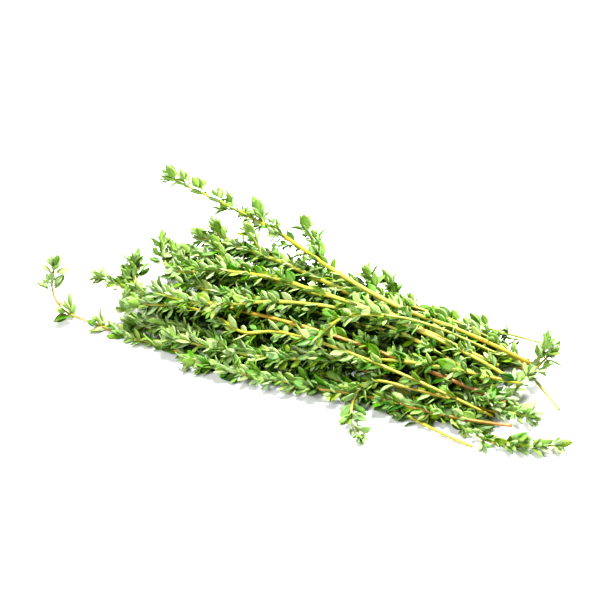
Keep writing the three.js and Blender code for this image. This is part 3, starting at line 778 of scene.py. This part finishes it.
def leafiness(distance, leafy_from):
    """How dense the foliage is on top of the stem, at a distance from the cut end."""
    share = (distance - leafy_from) / LEAFY_REACH
    return lerp(LEAST_LEAFY, 1, min(max(share, 0), 1))


def on_top(place, turn):
    """Whether a leaf on this side of the stem would hide it."""
    return outward(place, turn) @ light_side(place["point"]) > TOP_OF_STEM


def leaf_between(foliage, place, turn, near_tip, age, look):
    """A leaf that the solids leave out."""
    size = lerp(*BETWEEN_LEAF, near_tip) * foliage.spread(*BETWEEN_SPREAD) * look["leaf"]
    wide = foliage.spread(*OPEN_PITCH) * look["openness"]
    foliage.grow(place, turn, [wide, foliage.spread(*CLOSE_PITCH), WIDE_PITCH], size, age)


def dress(foliage, stem):
    """The fine leaves along one stem: those of the solids, and the ones between them."""
    line, look = stem["line"], stem["look"]
    length = length_of(line)
    roll = foliage.sprig["roll"]
    last = length - max(stem["bare"] - LEAFLESS_LESS, LEAFLESS)
    for back in look["tufts"]:
        tuft(foliage, smooth_at(line, length - back, roll), age_at(back, length), look["leaf"])
    for spot in fine_nodes(stem["nodes"], last, look["tufts"]):
        place = smooth_at(line, length - spot["back"], roll)
        age = age_at(spot["back"], length)
        near_tip = max(1 - spot["back"] / TUFT_LENGTH, 0)
        dense = leafiness(length - spot["back"], look["leafy_from"])
        for _ in range(int(look["cover"] * dense + foliage.random())):
            cover(foliage, place, age)
        twist = foliage.jitter(NODE_TWIST)
        for half in (0, 1):
            turn = spot["turn"] + half * math.pi + twist
            share = dense if on_top(place, turn) else 1
            if half < len(spot["leaves"]):
                if spot["leaves"][half]:
                    foliage.add(foliage.lean(spot["leaves"][half], place, look["openness"]), age)
            elif spot["back"] > TIP_STEP and foliage.random() < share * KEPT_LEAVES:
                leaf_between(foliage, place, turn, near_tip, age, look)
            if foliage.random() < look["axils"] * share:
                shoot = lerp(foliage.spread(*AXIL_LENGTH), AXIL_LENGTH[0], near_tip)
                foliage.short_shoot(place, turn, shoot, foliage.spread(*AXIL_LEAF), age)
    rosette(foliage, smooth_at(line, length, roll), look["leaf"])


def rosette(foliage, tip, scale):
    """The young leaves that close a tip."""
    for i in range(foliage.sprig["tip_tiers"]):
        spot = {**tip, "point": tip["point"] - tip["along"] * grown(ROSETTE_SINK, i)}
        for half in (0, 1):
            way = (i + 0.5) * math.pi / 2 + half * math.pi
            pitch = grown(ROSETTE_PITCH, i) + foliage.jitter(ROSETTE_PITCH_SPREAD)
            size = scale * grown(ROSETTE_LEAF, i) * foliage.spread(*ROSETTE_SPREAD)
            foliage.grow(spot, way, [pitch], size, grown(ROSETTE_AGE, i))


# ---- meshes ----

MAP_TOP, MAP_BELOW = 0.25, 0.75  # where the middle of a leaf's top and of its lower side are in its cell
MAP_HALF = 0.22  # half the width of each there
CELL_MARGIN = 0.03


def leaf_pattern(reaches, sides, lower_sides):
    """A leaf's grid: its stations along the blade, each a closed ring over the top and back below."""
    ring = [(s, 0) for s in sides] + [(s, 1) for s in lower_sides]
    count = len(ring)
    corners = [(r, s, under) for r in reaches for s, under in ring]
    faces, places = [], []
    for i in range(len(reaches) - 1):
        for j in range(count):
            k = (j + 1) % count
            quad = [(i, j), (i + 1, j), (i + 1, k), (i, k)]
            middle = MAP_BELOW if ring[j][1] or ring[k][1] else MAP_TOP
            faces.append([row * count + column for row, column in quad])
            places += [(reaches[row], middle + MAP_HALF * ring[column][0]) for row, column in quad]
    for row, order in ((0, range(count)), (len(reaches) - 1, range(count - 1, -1, -1))):
        faces.append([row * count + column for column in order])
        places += [(reaches[row], MAP_TOP + MAP_HALF * ring[column][0]) for column in order]
    return {"corners": np.array(corners, float), "faces": faces, "places": np.array(places)}


FULL_LEAF = leaf_pattern([0.06, 0.18, 0.26, 0.4, 0.58, 0.76, 0.9, 0.99], [-1, -0.5, 0, 0.5, 1],
                         [0.5, 0, -0.5])
SMALL_LEAF = leaf_pattern([0.06, 0.2, 0.36, 0.6, 0.84, 0.98], [-1, -0.45, 0, 0.45, 1], [0])


def leaf_width(reach):
    """Half the width of a leaf at a share of its length, as a share of its greatest half width."""
    blade = np.clip((reach - PETIOLE_SHARE) / (1 - PETIOLE_SHARE), 0, 1)
    outline = np.sin(np.pi * blade**BLADE_SKEW).clip(0, 1) ** BLADE_FULLNESS
    return np.maximum(outline, PETIOLE_WIDTH)


def leaf_vertices(rows, pattern):
    """The vertices of many leaves of one pattern, leaf by leaf."""
    root, along, face = (rows[:, None, columns] for columns in (ROOT, ALONG, FACE))
    length, age, curl, fold = (rows[:, column, None] for column in (LENGTH, AGE, CURL, FOLDED))
    reach, side, under = pattern["corners"].T[:, None, :]
    half = (length * LEAF_RATIO / 2 * lerp(*WIDTH_SPREAD, fold) * lerp(1, YOUNG_WIDTH, age)
            * leaf_width(reach))
    off_middle = np.abs(side)
    crown = (CROWN * (1 - side**2) + lerp(*FOLD, fold) * off_middle
             - EDGE_CURL * off_middle**EDGE_CURL_POWER)
    arch = lerp(*ARCH, curl) * lerp(1, YOUNG_ARCH, age) * length * reach**2
    thickness = (BLADE_THICKNESS * np.minimum(length / THICK_LENGTH, 1)
                 * lerp(EDGE_THICKNESS, 1, 1 - off_middle) * (1 + KEEL * (off_middle < KEEL_SHARE)))
    petiole = np.where(reach < PETIOLE_SHARE, PETIOLE_DEPTH, 0)
    height = half * crown - arch - under * (thickness + petiole * half)
    points = (root + along * (reach * length)[..., None]
              + np.cross(along, face) * (side * half)[..., None]
              + face * height[..., None])
    points[..., 2] = np.maximum(points[..., 2], LOWEST)
    return points


class Canopy:
    """How high the leaves reach over each place, to tell how deep in the bunch another one lies. The
    light comes from above and, slanting, from every side."""

    def __init__(self, points):
        self.tops = {}
        for point in points:
            for cell in self.cells(point):
                self.tops[cell] = max(self.tops.get(cell, 0), point[2])

    def cells(self, point):
        """The cells in which the ways of the light through a point start from the surface."""
        x, y, z = point
        return [(way, round((x - z * way[0]) / CANOPY_CELL), round((y - z * way[1]) / CANOPY_CELL))
                for way in LIGHT_WAYS]

    def depth(self, point):
        """0 where the light comes in from some side, 1 at FULL_DEPTH below the leaves all around."""
        height = min(self.tops.get(cell, 0) for cell in self.cells(point)) - point[2]
        return min(max(height / FULL_DEPTH, 0), 1)


def leaf_mesh(name, rows, canopy):
    """One mesh of all the leaves of a sprig, with what the leaf material reads as attributes."""
    # How deep each leaf lies, which sets the shade painted on it.
    shade_depths = [canopy.depth(row[ROOT] + row[ALONG] * row[LENGTH] / 2) for row in rows]
    rows = np.column_stack([rows, shade_depths])
    small = rows[:, LENGTH] <= SMALL_SIZE
    cells = math.ceil(math.sqrt(len(rows)))
    vertices, faces, kinds, shares, maps = [], [], [], [], []
    start = 0
    for pattern, chosen in ((FULL_LEAF, rows[~small]), (SMALL_LEAF, rows[small])):
        count = len(pattern["corners"])
        vertices.append(leaf_vertices(chosen, pattern).reshape(-1, 3))
        shares.append(np.tile(pattern["corners"], (len(chosen), 1)))
        kinds.append(np.repeat(chosen[:, [TINT, AGE, SHADE_DEPTH]], count, axis=0))
        places = lerp(CELL_MARGIN, 1 - CELL_MARGIN, pattern["places"])
        for _ in chosen:
            faces += [[start + v for v in face] for face in pattern["faces"]]
            maps.append((places + (len(maps) % cells, len(maps) // cells)) / cells)
            start += count
    mesh = mesh_of(name, np.concatenate(vertices), faces)
    add_vectors(mesh, "leaf_place", np.concatenate(shares))
    add_vectors(mesh, "leaf_kind_and_shade", np.concatenate(kinds))
    add_map(mesh, np.concatenate(maps))
    return mesh


class StemSurface:
    """The surface of a sprig's stem and side shoots, ring by ring, with what its material reads."""

    def __init__(self, strips):
        self.points = []
        self.faces = []
        self.kinds = []
        self.grains = []
        self.maps = []
        self.strips = strips
        self.strip = 0

    def ring(self, points, level, swell, distance):
        """Adds a ring of vertices: their colour, how near a node they are, and the grain there."""
        self.points.extend(points)
        self.kinds += [(level, swell, 0)] * STEM_FACETS
        self.grains += [(math.cos(a), math.sin(a), distance * GRAIN_STRETCH) for a in FACET_ANGLES]

    def tube(self, first, rings, strips):
        """Joins the rings that start at a vertex, and spreads them over some strips of the map."""
        per_strip = math.ceil(rings / strips)
        beside, above = STRIP_MARGIN
        for i in range(rings - 1):
            column = self.strip + i // per_strip
            low = first + i * STEM_FACETS
            high = low + STEM_FACETS
            for j in range(STEM_FACETS):
                k = (j + 1) % STEM_FACETS
                self.faces.append([low + j, low + k, high + k, high + j])
                self.maps += [
                    ((column + lerp(beside, 1 - beside, (j + du) / STEM_FACETS)) / self.strips,
                     lerp(above, 1 - above, (i % per_strip + dv) / per_strip))
                    for du, dv in ((0, 0), (1, 0), (1, 1), (0, 1))
                ]

    def cap(self, low, cut):
        """Closes the ring that starts at a vertex: with a rim of bark and, in a cut end, pale pith."""
        inner = len(self.points)
        rim = np.array(self.points[low:low + STEM_FACETS])
        centre = rim.mean(axis=0)
        self.points.extend(centre + (rim - centre) * PITH_RADIUS)
        self.kinds += [(self.kinds[low][0], 0, float(cut))] * STEM_FACETS
        self.grains += self.grains[low:low + STEM_FACETS]
        for j in range(STEM_FACETS):
            k = (j + 1) % STEM_FACETS
            quad = [low + k, low + j, inner + j, inner + k]
            self.faces.append(quad if cut else quad[::-1])
        disc = [inner + j for j in range(STEM_FACETS)]
        self.faces.append(disc[::-1] if cut else disc)
        beside, above = CUT_PLACE
        face_corners = 4 * STEM_FACETS + len(disc)
        self.maps += [((self.strip + beside) / self.strips, above)] * face_corners


FACET_ANGLES = np.arange(STEM_FACETS) / STEM_FACETS * 2 * math.pi
STEM_SHAPE = ROUNDNESS - SQUARENESS * np.cos(4 * FACET_ANGLES)


def stem_mesh(name, sprig):
    """One mesh of a sprig's stem and side shoots."""
    surface = StemSurface(sum(stem["strips"] for stem in sprig["stems"]))
    for stem in sprig["stems"]:
        length = length_of(stem["line"])
        rings = max(int(length / FINE_STEP), FEWEST_STEPS) + 1
        first = len(surface.points)
        young = YOUNG_STEM + (stem["ripe"] - YELLOW) * YOUNG_RIPENESS
        for i in range(rings):
            share = i / (rings - 1)
            distance = share * length
            place = smooth_at(stem["line"], distance, sprig["roll"])
            nearest = min(abs(length - distance - node["back"]) for node in stem["nodes"])
            swell = math.exp(-((nearest / NODE_REACH) ** 2))
            girth = lerp(*FINE_TAPER, share) * (1 - TIP_NARROWING * share**4) * sprig["fine_girth"]
            radius = lerp(*stem["radii"], share) * girth * (1 + NODE_SWELL * swell) * STEM_SHAPE
            points = (place["point"]
                      + np.outer(np.cos(FACET_ANGLES) * radius, place["side"])
                      + np.outer(np.sin(FACET_ANGLES) * radius, place["up"]))
            points[:, 2] = np.maximum(points[:, 2], LOWEST)
            level = lerp(young, stem["ripe"], math.exp(-distance / RIPE_REACH))
            surface.ring(points, level, swell, distance)
        surface.tube(first, rings, stem["strips"])
        surface.cap(first, cut=True)
        surface.cap(first + (rings - 1) * STEM_FACETS, cut=False)
        surface.strip += stem["strips"]
    mesh = mesh_of(name, np.array(surface.points), surface.faces)
    add_vectors(mesh, "stem_kind", np.array(surface.kinds))
    add_vectors(mesh, "stem_grain", np.array(surface.grains))
    add_map(mesh, np.array(surface.maps))
    return mesh


def mesh_of(name, points, faces):
    """A smooth mesh in the frame's metres, from points in the routes' millimetres."""
    mesh = bpy.data.meshes.new(name)
    mesh.from_pydata(((points + ORIGIN) * MM).tolist(), [], faces)
    mesh.shade_smooth()
    return mesh


def add_vectors(mesh, name, values):
    layer = mesh.attributes.new(name, "FLOAT_VECTOR", "POINT")
    layer.data.foreach_set("vector", values.astype(np.float32).ravel())


def add_map(mesh, values):
    layer = mesh.uv_layers.new(name="OFBake")
    layer.uv.foreach_set("vector", values.astype(np.float32).ravel())


# ---- materials ----

BUMP_STRENGTH = 0.5


def colour(red, green, blue):
    """A colour given as a screen shows it, from 0 to 255, in the renderer's linear values."""
    def linear(value):
        share = value / 255
        return share / 12.92 if share <= 0.04045 else ((share + 0.055) / 1.055) ** 2.4

    return linear(red), linear(green), linear(blue), 1.0


class Shader:
    """A material with a Principled shader, and short ways to add nodes to it."""

    def __init__(self, name):
        self.material = bpy.data.materials.new(name)
        self.material.use_nodes = True
        self.tree = self.material.node_tree
        self.surface = self.tree.nodes["Principled BSDF"]

    def feed(self, node, inputs):
        """Sets inputs of a node, each to a value or from the output of another node."""
        for key, value in inputs.items():
            if isinstance(value, bpy.types.NodeSocket):
                self.tree.links.new(value, node.inputs[key])
            else:
                node.inputs[key].default_value = value

    def node(self, kind, inputs, **settings):
        made = self.tree.nodes.new(kind)
        for key, value in settings.items():
            setattr(made, key, value)
        self.feed(made, inputs)
        return made

    def finished(self, inputs):
        """The material, once its surface has these inputs."""
        self.feed(self.surface, inputs)
        return self.material

    def math(self, operation, a, b=0.0):
        return self.node("ShaderNodeMath", {0: a, 1: b}, operation=operation).outputs[0]

    def scaled(self, value, factor, offset=0.0):
        """A value times a factor, and then more by an offset, which may be another socket."""
        made = self.node("ShaderNodeMath", {0: value, 1: factor, 2: offset}, operation="MULTIPLY_ADD")
        return made.outputs[0]

    def mix(self, share, a, b):
        return self.node("ShaderNodeMix", {0: share, 6: a, 7: b}, data_type="RGBA").outputs[2]

    def marked(self, base, mask, strength, tone):
        """A colour with a mark of another tone where its mask is 1."""
        return self.mix(self.scaled(mask, strength), base, tone)

    def rise(self, value, low, high):
        """0 below low, 1 above high and smooth between them."""
        made = self.node("ShaderNodeMapRange", {0: value, 1: low, 2: high},
                         interpolation_type="SMOOTHSTEP")
        return made.outputs[0]

    def fall(self, value, low, high):
        """1 below low, 0 above high and smooth between them."""
        return self.math("SUBTRACT", 1.0, self.rise(value, low, high))

    def ramp(self, share, stops):
        made = self.node("ShaderNodeValToRGB", {0: share})
        while len(made.color_ramp.elements) < len(stops):
            made.color_ramp.elements.new(0.5)
        for element, (position, screen_colour) in zip(made.color_ramp.elements, stops):
            element.position = position
            element.color = colour(*screen_colour)
        return made.outputs[0]

    def attribute(self, name):
        return self.node("ShaderNodeAttribute", {}, attribute_name=name).outputs["Vector"]

    def object_place(self):
        return self.node("ShaderNodeTexCoord", {}).outputs["Object"]

    def parts(self, vector):
        return self.node("ShaderNodeSeparateXYZ", {0: vector}).outputs

    def noise(self, vector, scale, detail=3.0):
        made = self.node("ShaderNodeTexNoise", {"Vector": vector, "Scale": scale, "Detail": detail})
        return made.outputs[0]

    def bump(self, height, distance):
        made = self.node("ShaderNodeBump",
                         {"Height": height, "Distance": distance, "Strength": BUMP_STRENGTH})
        return made.outputs[0]


# What is the same all over a surface. The lengths in this section are in metres.
GLOW = {"Subsurface Scale": 0.0006}  # how far a little light passes through
LEAF_SURFACE = {**GLOW, "Specular IOR Level": 0.15, "Subsurface Weight": 0.06,
                "Subsurface Radius": (0.6, 1.0, 0.3)}
STEM_SURFACE = {**GLOW, "Subsurface Weight": 0.1, "Subsurface Radius": (1.0, 0.7, 0.2)}

# From an old leaf in painted shade deep in the bunch to a young, lit one on top of it.
LEAF_COLOURS = [(0.0, (20, 60, 0)), (0.25, (66, 105, 11)), (0.55, (121, 147, 88)), (1.0, (132, 146, 120))]
YOUTH_AND_SHADE_START = -0.39  # on that scale
YOUTH_AND_SHADE_SHARES = (0.5, 0.78, 0.3, -0.7)  # how far age, tint, mottle and depth move a leaf along it; the depth paints shade
UNDERSIDE_SHADED_AND_LIT = (colour(46, 84, 4), colour(104, 136, 54))  # painted shade deep in the bunch, and lit on top
PAINTED_SHADE_DEPTHS = (0.0, 0.5)  # the depths between which a leaf goes from its lit colour to its painted shade
HUES = 17  # the tint times this gives the hue its own random number
HUE_SHIFT = (0.07, 0.455)  # range and start; 0.5 is no shift
SHADE_SATURATION = (1.6, 1.03)  # growth with the depth, as painted shade, and start
MOTTLE_SCALE = 900
# Marks: how strongly each shows, and its colour. Edges: where it begins to show, and shows in full.
# Painted sheen: pale patches painted on the leaves that lie out of the painted shade.
PAINTED_SHEEN = (0.25, colour(140, 162, 108))
PAINTED_SHEEN_PATTERN = (170, 1.0)  # scale and detail
PAINTED_SHEEN_EDGE = (0.42, 0.62)
VEIN = (0.05, colour(140, 168, 80))
VEIN_WAVES = 40
VEIN_SLANT = -0.3
VEIN_EDGE = (0.75, 1.0)
RIB = (0.2, colour(140, 170, 60))
UNDERSIDE_RIB = (0.4, colour(138, 158, 90))
RIB_EDGE = (0.03, 0.14)  # from the midrib, where it begins to fade, and is gone
LEAF_ROUGHNESS = (0.18, 0.36)  # growth with the mottle, and start
UNDERSIDE_ROUGHER = 0.25
OIL_GLAND_SCALE = 3200
GLAND_EDGE = (0.1, 0.35)
VEIN_RELIEF = -0.5  # as a share of the glands'
LEAF_RELIEF = 0.00004


def leaf_material():
    """A waxy leaf: darker when old, with shade painted on it deep in the bunch and a painted sheen in pale
    patches on the leaves out of that shade; with a pale midrib, faint side veins, fine dots and a pale
    underside."""
    shader = Shader("thyme_leaf")
    reach, side, under = shader.parts(shader.attribute("leaf_place"))
    tint, age, depth = shader.parts(shader.attribute("leaf_kind_and_shade"))
    place = shader.object_place()
    mottle = shader.noise(place, MOTTLE_SCALE)
    # 1 where a leaf lies out of the painted shade, 0 where it lies deep in it.
    off_middle = shader.math("ABSOLUTE", side)
    out_of_painted_shade = shader.fall(depth, *PAINTED_SHADE_DEPTHS)
    # Pale patches of painted sheen.
    painted_sheen = shader.rise(shader.noise(place, *PAINTED_SHEEN_PATTERN), *PAINTED_SHEEN_EDGE)
    veins = shader.scaled(shader.scaled(off_middle, VEIN_SLANT, reach), VEIN_WAVES)
    vein = shader.rise(shader.math("SINE", veins), *VEIN_EDGE)
    rib = shader.fall(off_middle, *RIB_EDGE)

    # A leaf's place on the ramp: its age, random tint and mottle, and shade painted by its depth in the
    # bunch.
    fresh = YOUTH_AND_SHADE_START
    for value, share in zip((age, tint, mottle, depth), YOUTH_AND_SHADE_SHARES):
        fresh = shader.scaled(value, share, fresh)
    hue = shader.math("FRACT", shader.scaled(tint, HUES))
    # A leaf deeper in the bunch is painted more saturated, as shade.
    upper = shader.node("ShaderNodeHueSaturation", {
        "Hue": shader.scaled(hue, *HUE_SHIFT),
        "Saturation": shader.scaled(depth, *SHADE_SATURATION),
        "Color": shader.ramp(fresh, LEAF_COLOURS),
    }).outputs[0]
    # Painted sheen on leaves out of the painted shade, then the leaf's own veins and midrib.
    for mask, mark in ((shader.scaled(painted_sheen, out_of_painted_shade), PAINTED_SHEEN), (vein, VEIN), (rib, RIB)):
        upper = shader.marked(upper, mask, *mark)
    # The underside is painted darker deep in the bunch, as shade.
    lower = shader.marked(shader.mix(out_of_painted_shade, *UNDERSIDE_SHADED_AND_LIT), rib, *UNDERSIDE_RIB)

    glands = shader.node("ShaderNodeTexVoronoi", {"Vector": place, "Scale": OIL_GLAND_SCALE})
    relief = shader.scaled(vein, VEIN_RELIEF, shader.rise(glands.outputs["Distance"], *GLAND_EDGE))
    return shader.finished({
        **LEAF_SURFACE,
        "Base Color": shader.mix(under, upper, lower),
        "Roughness": shader.scaled(under, UNDERSIDE_ROUGHER, shader.scaled(mottle, *LEAF_ROUGHNESS)),
        "Normal": shader.bump(shader.math("SUBTRACT", relief, rib), LEAF_RELIEF),
    })


# The scale that ripe uses.
STEM_COLOURS = [(0.0, (102, 126, 36)), (0.3, (118, 130, 27)), (0.5, (128, 123, 16)),
                (0.72, (136, 102, 12)), (0.88, (136, 82, 30)), (1.0, (118, 64, 42))]
NODE_RIPENESS = 0.2  # how much riper a node looks
STREAK_RIPENESS = (0.5, -0.25)  # the same of a streak: range and start
STREAK_PATTERN = (2.6, 5.0)  # scale and detail
FINE_STREAK = (0.35, colour(174, 168, 40))
FINE_STREAK_PATTERN = (9.0, 4.0)
FINE_STREAK_EDGE = (0.5, 0.8)
PITH = (colour(178, 172, 116), colour(140, 132, 66))
PITH_EDGE = (0.3, 0.7)
STEM_ROUGHNESS = (0.2, 0.36)  # growth with the streak, and start
STEM_RELIEF = 0.00006


def stem_material():
    """A smooth stem, green near the tip and yellow, orange or brown near the cut end, with fine
    ridges along it, darker rings at its nodes, and pale pith in the cut."""
    shader = Shader("thyme_stem")
    ripe, node, cut = shader.parts(shader.attribute("stem_kind"))
    grain = shader.attribute("stem_grain")
    streak = shader.noise(grain, *STREAK_PATTERN)
    fine = shader.noise(grain, *FINE_STREAK_PATTERN)
    level = shader.scaled(node, NODE_RIPENESS, ripe)
    level = shader.math("ADD", level, shader.scaled(streak, *STREAK_RIPENESS))
    bark = shader.marked(shader.ramp(level, STEM_COLOURS), shader.rise(fine, *FINE_STREAK_EDGE),
                         *FINE_STREAK)
    pith = shader.mix(shader.rise(fine, *PITH_EDGE), *PITH)
    return shader.finished({
        **STEM_SURFACE,
        "Base Color": shader.mix(cut, bark, pith),
        "Roughness": shader.scaled(streak, *STEM_ROUGHNESS),
        "Normal": shader.bump(shader.math("ADD", fine, streak), STEM_RELIEF),
    })


# ---- the stage: the camera in millimetres, the floor and the lights in metres ----

CAMERA_AZIMUTH = 24  # degrees from -Y towards +X
CAMERA_HEIGHT = 36  # degrees above the floor
CAMERA_DISTANCE = 520
CAMERA_TARGET = (0, 0, 8)
CAMERA_LENS = 96
CAMERA_SHIFT = 0.03
CLIP_START = 0.01  # metres
FLOOR_SIZE = 6.0
FLOOR_SPECKLE = 3
FLOOR_TONES = (colour(208, 208, 210), colour(214, 214, 215))
FLOOR_SURFACE = {"Roughness": 0.9, "Specular IOR Level": 0.1}
# Name, place, size, and power in watts. Each light looks at the origin.
LIGHTS = [
    ("key", (0.12, 0.2, 1.1), 0.45, 51),
    ("fill", (-0.2, -0.9, 0.8), 0.6, 16),
    ("back", (0.35, 0.9, 0.8), 0.8, 30),
]
WORLD_STRENGTH = 0.2
# The photo is crisp, with nearly black depths and a white surface.
VIEW = {"view_transform": "Standard", "look": "High Contrast", "gamma": 1.15, "exposure": -0.23}


def set_camera():
    azimuth, height = math.radians(CAMERA_AZIMUTH), math.radians(CAMERA_HEIGHT)
    back = Vector((
        math.sin(azimuth) * math.cos(height), -math.cos(azimuth) * math.cos(height), math.sin(height),
    ))
    camera = bpy.data.objects.new("camera", bpy.data.cameras.new("camera"))
    camera.data.lens = CAMERA_LENS
    camera.data.shift_y = CAMERA_SHIFT
    camera.data.clip_start = CLIP_START
    target = Vector((np.array(CAMERA_TARGET) + ORIGIN) * MM)
    camera.location = target + back * (CAMERA_DISTANCE * MM)
    camera.rotation_euler = back.to_track_quat("Z", "Y").to_euler()
    bpy.context.collection.objects.link(camera)
    bpy.context.scene.camera = camera


def set_floor():
    half = FLOOR_SIZE / 2
    mesh = bpy.data.meshes.new("floor")
    mesh.from_pydata([(-half, -half, 0), (half, -half, 0), (half, half, 0), (-half, half, 0)], [],
                     [(0, 1, 2, 3)])
    shader = Shader("floor")
    speckle = shader.noise(shader.object_place(), FLOOR_SPECKLE)
    tone = shader.mix(speckle, *FLOOR_TONES)
    mesh.materials.append(shader.finished({**FLOOR_SURFACE, "Base Color": tone}))
    floor = bpy.data.objects.new("floor", mesh)
    bpy.context.collection.objects.link(floor)


def set_light():
    world = bpy.data.worlds.new("world")
    world.use_nodes = True
    background = world.node_tree.nodes["Background"]
    background.inputs["Color"].default_value = (1.0, 1.0, 1.0, 1.0)
    background.inputs["Strength"].default_value = WORLD_STRENGTH
    bpy.context.scene.world = world
    for name, place, size, power in LIGHTS:
        light = bpy.data.objects.new(name, bpy.data.lights.new(name, "AREA"))
        light.data.shape = "DISK"
        light.data.size = size
        light.data.energy = power
        light.location = place
        light.rotation_euler = Vector(place).to_track_quat("Z", "Y").to_euler()
        bpy.context.collection.objects.link(light)
    for setting, value in VIEW.items():
        setattr(bpy.context.scene.view_settings, setting, value)


# ---- the bundle ----

def prepared(sprig, index):
    """A sprig with its line, before it is settled, and with what its own random draws give it."""
    random = random_from(LEAF_SEED + index)
    high = all(z > HIGH for _, _, z in sprig["route"])
    return {**sprig, "line": line_through(sprig["route"]), "random": random,
            "roll": random() * math.pi if high else 0.0, "fine_seed": FINE_SEED + index}


def stems_of(sprig):
    """The sprig's own stem and its side shoots, each as a line with what it needs to be dressed."""
    own = {"line": sprig["line"], "bare": sprig["bare"], "ripe": sprig["ripe"], "look": sprig,
           "radii": (stem_radius(sprig["girth"], 0), stem_radius(sprig["girth"], 1)),
           "strips": STEM_STRIPS}
    return [own] + [
        {"line": shoot_line(sprig["line"], shoot), "bare": SHOOT_BARE, "ripe": SHOOT_RIPE,
         "look": SHOOT_LOOK, "radii": (SHOOT_RADIUS, SHOOT_RADIUS), "strips": 1}
        for shoot in sprig["shoots"]
    ]


def solid_corners(sprig):
    """The corners of a sprig's solid that may lie furthest out: those of its leaves and stem ends."""
    corners = [
        leaf_points(pose, LEAF_CORNERS)
        for stem in sprig["stems"] for node in stem["nodes"] for pose in node["leaves"] if pose
    ]
    for share in (0, 1):
        end = place_at(sprig["line"], share * length_of(sprig["line"]), sprig["roll"])
        radius = stem_radius(sprig["girth"], share) * math.sqrt(0.5)
        corners.append(np.array([
            end["point"] + radius * (end["side"] * a + end["up"] * b)
            for a in (-1, 1) for b in (-1, 1)
        ]))
    return np.concatenate(corners)


def add_piece(sprig, part, mesh, material):
    mesh.materials.append(material)
    piece = bpy.data.objects.new(f"{sprig['name']}_{part}", mesh)
    bpy.context.collection.objects.link(piece)
    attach(piece, "root")
    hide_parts(sprig["name"])


sprigs = [prepared(sprig, index) for index, sprig in enumerate(SHOWN + row_sprigs())]
settle(sprigs)

crowd = Crowd()
for sprig in sprigs:
    sprig["stems"] = stems_of(sprig)
    for stem in sprig["stems"]:
        crowd.add(sprig["name"], "stem", stem_balls(stem["line"], stem["radii"]))
for sprig in sprigs:
    for stem in sprig["stems"]:
        stem["nodes"] = leaves_along(crowd, sprig, stem["line"], stem["bare"])

corners = np.concatenate([solid_corners(sprig) for sprig in sprigs])
ORIGIN = -(corners.min(axis=0) + corners.max(axis=0)) / 2
ORIGIN[2] = 0

for sprig in sprigs:
    foliage = Foliage(sprig, crowd)
    for stem in sprig["stems"]:
        dress(foliage, stem)
    sprig["rows"] = np.array(foliage.rows)

canopy = Canopy(np.concatenate([sprig["rows"][:, ROOT] for sprig in sprigs]))
leaf_finish = leaf_material()
stem_finish = stem_material()
for sprig in sprigs:
    leaves = leaf_mesh(sprig["name"] + "_leaves", sprig["rows"], canopy)
    add_piece(sprig, "leaves", leaves, leaf_finish)
    add_piece(sprig, "stem", stem_mesh(sprig["name"] + "_stem", sprig), stem_finish)

set_floor()
set_light()
set_camera()
